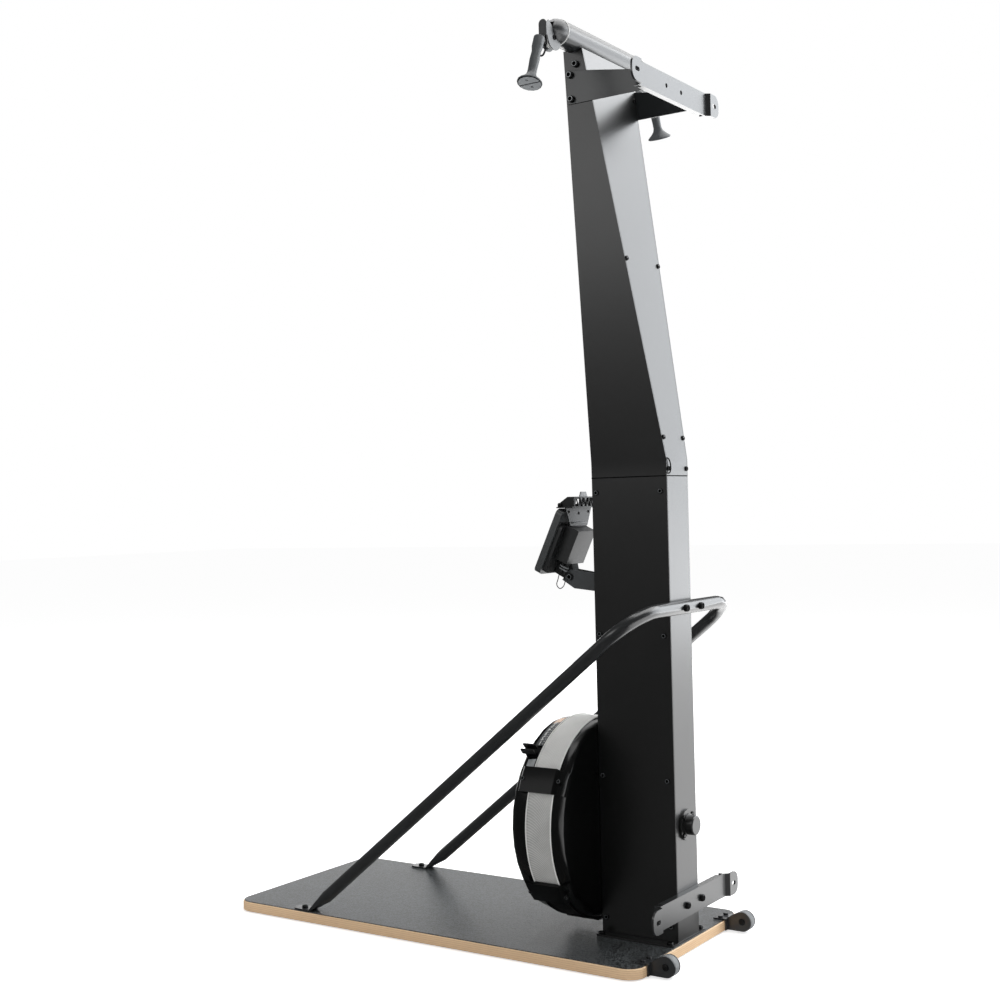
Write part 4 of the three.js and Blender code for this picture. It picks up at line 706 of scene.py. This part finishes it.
def strip(shape, y_low, y_high, start, end, lift, steps=24):
    """A thin band bent round the front rim."""
    thick = 0.0004
    rings = []
    for i in range(steps + 1):
        turn = start + (end - start) * i / steps
        rings.append([shape.verts.new(round_the_drum(rim_radius(y) + grow, y, turn)) for y, grow in (
            (y_low, lift - thick), (y_high, lift - thick), (y_high, lift), (y_low, lift))])
    for low, high in zip(rings, rings[1:]):
        for i in range(4):
            j = (i + 1) % 4
            shape.faces.new((low[i], low[j], high[j], high[i]))
    shape.faces.new(rings[0][::-1])
    shape.faces.new(rings[-1])


shell = finish("satin_shell", satin_shell)
dress(shell, "drum_rear_shell", "drum_front_shell", "inlet_grille", "flywheel_fan", edge=0.0008)
dress(finish("woven_wire", woven), "drum_mesh")
# The edge wires go near-black toward the drum's foot: painted shade.
edge_wire = finish("edge_wire", lambda place: {
    "Base Color": ((place.noise(200) * 0.2 + 0.8) * place.part(2).ramp(0.12, 0.15)).between(
        color("060606"), color("fafaf7")),
    "Roughness": 0.35,
})
for label, y in (("front", 0.2676), ("rear", 0.3348)):
    piece("mesh_edge_wire_" + label, hoop(drum_radius + 0.0005, y, thick=0.0016, wide=0.0014),
          edge_wire, "frame")
piece("front_rim_bead", hoop(drum_radius, 0.2652, thick=0.0016, wide=0.0011), shell,
      "frame")
clip_turns = [math.radians(a) for a in (28.5, 151.5, -37.5, -142.5, -90)]
clip_radius, clip_screw_rows = 0.2497, (0.249, 0.347)
heads("clip_screws", "frame", [(round_the_drum(clip_radius, y, turn), (math.cos(turn), 0, math.sin(turn)))
                               for turn in clip_turns for y in clip_screw_rows],
      radius=0.0052, height=0.0014, sides=20, rim=painted_dim_highlight_finish)

scale_finish = finish("damper_scale", lambda place: {
    "Base Color": (place.part(0) + place.noise(40) * 0.01).ramp(0.078, 0.066).between(
        color("55585a"), color("ffdfc8")),
    "Roughness": 0.45,
})
shape = bmesh.new()
strip(shape, y_low=0.2395, y_high=0.2648, start=math.radians(51), end=math.radians(82), lift=0.0004)
piece("damper_scale", meshed(shape), scale_finish, "frame")
number_finish = finish("scale_numbers", lambda place: {
    "Base Color": place.noise(90).between(color("dcdddc"), color("f2f2f0")),
    "Roughness": 0.5,
})
first_degrees, step_degrees, number_size = 49.2, 4.0, 0.0185
number_y, number_radius, number_lift = 0.2500, 0.237, 0.00055
tick_low, tick_high, tick_turn, tick_half, tick_lift = 0.2586, 0.2642, 0.0175, 0.0022, 0.0006
shape = bmesh.new()
for number in range(1, 7):
    turn = math.radians(first_degrees + step_degrees * number)
    written = bpy.data.curves.new("number", "FONT")
    written.body = str(number)
    written.size = number_size
    written.align_x = written.align_y = "CENTER"
    written.extrude = 0.00015
    written.offset = 0.0004
    written.resolution_u = 3
    letter = bpy.data.objects.new("number", written)
    bpy.context.scene.collection.objects.link(letter)
    flat = letter.to_mesh()
    first = len(shape.verts)
    shape.from_mesh(flat)
    shape.verts.ensure_lookup_table()
    for vertex in list(shape.verts)[first:]:
        x, y, z = vertex.co
        along = number_y - x
        vertex.co = round_the_drum(rim_radius(along) + number_lift + z, along, turn + y / number_radius)
    letter.to_mesh_clear()
    bpy.data.objects.remove(letter)
    for tick in (turn - tick_turn, turn + tick_turn):
        strip(shape, tick_low, tick_high, tick - tick_half, tick + tick_half, tick_lift, steps=1)
piece("scale_numbers", meshed(shape), number_finish, "frame")
shape = bmesh.new()
strip(shape, y_low=0.2385, y_high=0.2625, start=math.radians(36), end=math.radians(41.5), lift=0.0005,
      steps=6)
plate_finish = finish("rim_plate", lambda place: {
    "Base Color": place.stretched(1, 9, 1).noise(120).between(color("a6a9ab"), color("c8cbcd")),
    "Roughness": 0.35,
})
piece("rim_plate", meshed(shape), plate_finish, "frame")

# Bearing housing. A turned boss on the column's back, coated black like the column, carries the rear end
# of the flywheel's steel axle; four screws hold its flange.
steel = finish("zinc_steel", lambda place: {
    "Base Color": place.noise(40, 3).between(color("8f9294"), color("b9bcbe")),
    "Metallic": 0.9,
    "Roughness": 0.32 + place.noise(200) * 0.1,
})
dress(black_coat, "bearing_housing")
dress(steel, "flywheel_axle", "front_bearing", "rear_bearing")
flange_face, flange_screws = 0.5642, (-0.0219, 0.0219)
heads("housing_screws", "frame", [((x, flange_face, hub.z + z), backward)
                                  for x in flange_screws for z in flange_screws],
      radius=0.0055, height=0.0036)

# Monitor. A folded steel arm carries a moulded plastic shell with its display, three buttons, a battery box
# at the back and a sprung phone cradle on top; ties hold the two lead plugs together.
pivot = joint_places["monitor_tilt"]
lean_up, lean_out = 0.9026, 0.4305


def leant(x, out, along):
    """A point of the leaning monitor, from its pivot: across, toward the user and up along it."""
    return Vector((x, pivot.y - lean_up * out + lean_out * along, pivot.z + lean_out * out + lean_up * along))


def box_plastic(place):
    """The back cover; its lowest part, less than 30.5 mm up from the pivot, is duller."""
    texture = place.noise(700, 3)
    along = (place.part(2) - pivot.z) * lean_up + (place.part(1) - pivot.y) * lean_out
    return {
        "Base Color": place.noise(20, 3).between(color("1b1c1d"), color("252728")),
        "Roughness": 0.36 + texture * 0.08 + (along < 0.0305) * 0.5,
        "Specular IOR Level": 1.0,
        "Bump": (texture, 0.0001),
    }


dress(finish("moulded_plastic", moulded("0d0e0f", "151617", rough=0.34, gloss=0.8)), "damper_lever",
      edge=0.0008)
dress(finish("battery_box_plastic", box_plastic), "monitor_housing", edge=0.0008)
dress(finish("monitor_shell_plastic", moulded("3b3d3e", "494c4d", rough=0.34, gloss=1.0)),
      "monitor_shell", edge=0.0014)
dress(finish("cradle_plastic", moulded("151617", "1f2122", rough=0.42, gloss=0.6)), "phone_holder")
dress(finish("monitor_arm_coat", coated("3d4042", "494c4e")), "monitor_arm")
dress(lightened_black_coat, "phone_clamp")
dress(handle_rubber, "monitor_button_1", "monitor_button_2", "monitor_button_3")
dress(finish("display_window", lambda place: {
    "Base Color": place.noise(12).between(color("6d7770"), color("7c867e")),
    "Roughness": 0.12,
    "Coat Weight": 0.6,
}), "screen_lens", edge=0.0002)
arm_cheek = 0.0175
heads("monitor_pivot_bolt", "frame",
      [((side * arm_cheek, pivot.y, pivot.z), (side, 0, 0)) for side in both_sides],
      radius=0.0082, height=0.0062, rim=painted_dim_highlight_finish)
cradle_back = 0.288
heads("cradle_screws", "monitor",
      [((x, cradle_back, z), backward) for x, z in ((-0.046, 1.034), (0.046, 1.034), (0, 1.03))],
      radius=0.0036, height=0.0012, sides=16)
knob_x, knob_y, knob_z = 0.0535, 0.2675, 1.0464
knob = [(0.0058, 0), (0.0058, 0.0062), (0.0052, 0.0082), (0.0036, 0.0095), (0.0012, 0.0099)]
shape = bmesh.new()
for side in both_sides:
    turned(shape, knob, (side * knob_x, knob_y, knob_z), upward, sides=20)
piece("cradle_knobs", meshed(shape), screw_finish, "monitor")
# The bend ridge along the cradle's back is coloured light grey: a painted highlight.
bend_half, bend_taper = 0.032, 0.0015
bend_section = [(cradle_back, 1.0062), (0.2918, 1.0058), (0.2922, 1.0068), (cradle_back, 1.0098)]
bend_stops = (-bend_half, bend_taper - bend_half, bend_half - bend_taper, bend_half)
piece("cradle_bend", lofted([[(x, y, z) for y, z in bend_section] for x in bend_stops]),
      finish("bend_painted_highlight", coated("6a6d6f", "7a7d7f")), "monitor").data.shade_flat()
tie_finish = finish("grey_tie", moulded("7b7e80", "96999b", rough=0.5))
tie_x, tie_out, tie_round, tie_straight = 0.0244, 0.021, 0.0053, 0.0066
tie_thick, tie_wide = 0.0008, 0.0016
for name, up_at in (("lower", 0.011), ("upper", 0.018)):
    rings = []
    for i in range(48):
        turn = 2 * math.pi * i / 48
        x = tie_x + tie_round * math.cos(turn)
        out = tie_out + (tie_straight if math.sin(turn) > 0 else -tie_straight) + tie_round * math.sin(turn)
        rings.append([leant(x + tie_thick * math.cos(t) * math.cos(turn),
                            out + tie_thick * math.cos(t) * math.sin(turn),
                            up_at + tie_wide * math.sin(t)) for t in (math.pi * j / 4 for j in range(8))])
    piece("plug_tie_" + name, closed_ring(rings), tie_finish, "monitor")


# Studio. A pale floor runs out into a white surround. A large soft lamp stands beyond the machine at the
# photograph's right, a low wide one straight behind it, one high at the camera's left, and one hangs above.
def by_ray(look, seen, felt, caught):
    """What the camera sees, what lights the object, and what its gloss catches, in one shader."""
    camera_ray = look.add("LightPath", {}, output="Is Camera Ray")
    glossy_ray = look.add("LightPath", {}, output="Is Glossy Ray")
    unseen = look.add("MixShader", {0: glossy_ray, 1: felt, 2: caught})
    return look.add("MixShader", {0: camera_ray, 1: unseen, 2: seen})


half_floor = 30
floor_mesh = bpy.data.meshes.new("floor")
floor_mesh.from_pydata([(-half_floor, -half_floor, 0), (half_floor, -half_floor, 0),
                        (half_floor, half_floor, 0), (-half_floor, half_floor, 0)], [], [(0, 1, 2, 3)])
floor = bpy.data.objects.new("floor", floor_mesh)
bpy.context.scene.collection.objects.link(floor)
paper = bpy.data.materials.new("floor")
paper.use_nodes = True
paper.node_tree.nodes.clear()
look = Value(paper.node_tree)
matt = look.add("BsdfDiffuse", {"Color": (0.9, 0.9, 0.9, 1)})
shown = look.add("AddShader", {0: matt, 1: look.add("Emission", {"Strength": 0.62})})
spot = look.add("NewGeometry", {})
# Glossy rays see the floor as painted light: a bright pool ramped in across it, and painted shade elsewhere.
pool = (spot.part(1) * 0.56 - spot.part(0) * 0.83).ramp(0.35, 0.85)
shade = look.add("Emission", {"Strength": 0.08})
bright = look.add("Emission", {"Strength": 1.78})
mirrored = look.add("MixShader", {0: pool, 1: shade, 2: bright})
look.add("OutputMaterial", {"Surface": by_ray(look, shown, matt, mirrored)})
floor_mesh.materials.append(paper)


def lamp(name, place, target, width, height, radiance, tint=(1, 1, 1)):
    light = bpy.data.lights.new(name, "AREA")
    light.color = tint
    light.shape = "RECTANGLE"
    light.size, light.size_y = width, height
    light.energy = radiance * math.pi * width * height
    made = bpy.data.objects.new(name, light)
    made.location = place
    made.rotation_euler = (Vector(target) - Vector(place)).to_track_quat("-Z", "Y").to_euler()
    made.visible_camera = False
    bpy.context.scene.collection.objects.link(made)


lamp("back_right", (-3.4, 2.75, 2.45), (0, 0.5, 2.3), width=4.6, height=4.2, radiance=3.0,
     tint=(0.94, 0.97, 1.0))
lamp("backdrop", (-5.0, -3.4, 0.8), (0, 0, 0.8), width=7.0, height=1.5, radiance=2.0)
lamp("camera_left", (3.05, -1.35, 2.35), (0, 0.4, 1.7), width=2.1, height=1.3, radiance=1.3)
lamp("overhead", (-1.4, 1.0, 4.6), (0, 0.3, 0), width=5.0, height=5.0, radiance=2.2)
world = bpy.data.worlds.new("studio")
bpy.context.scene.world = world
world.use_nodes = True
world.node_tree.nodes.clear()
look = Value(world.node_tree)
white = (1, 1, 1, 1)
seen, felt, caught = [look.add("Background", {"Color": white, "Strength": strength})
                      for strength in (1.0, 0.4, 0.1)]
look.add("OutputWorld", {"Surface": by_ray(look, seen, felt, caught)})
bpy.context.scene.view_settings.view_transform = "Standard"
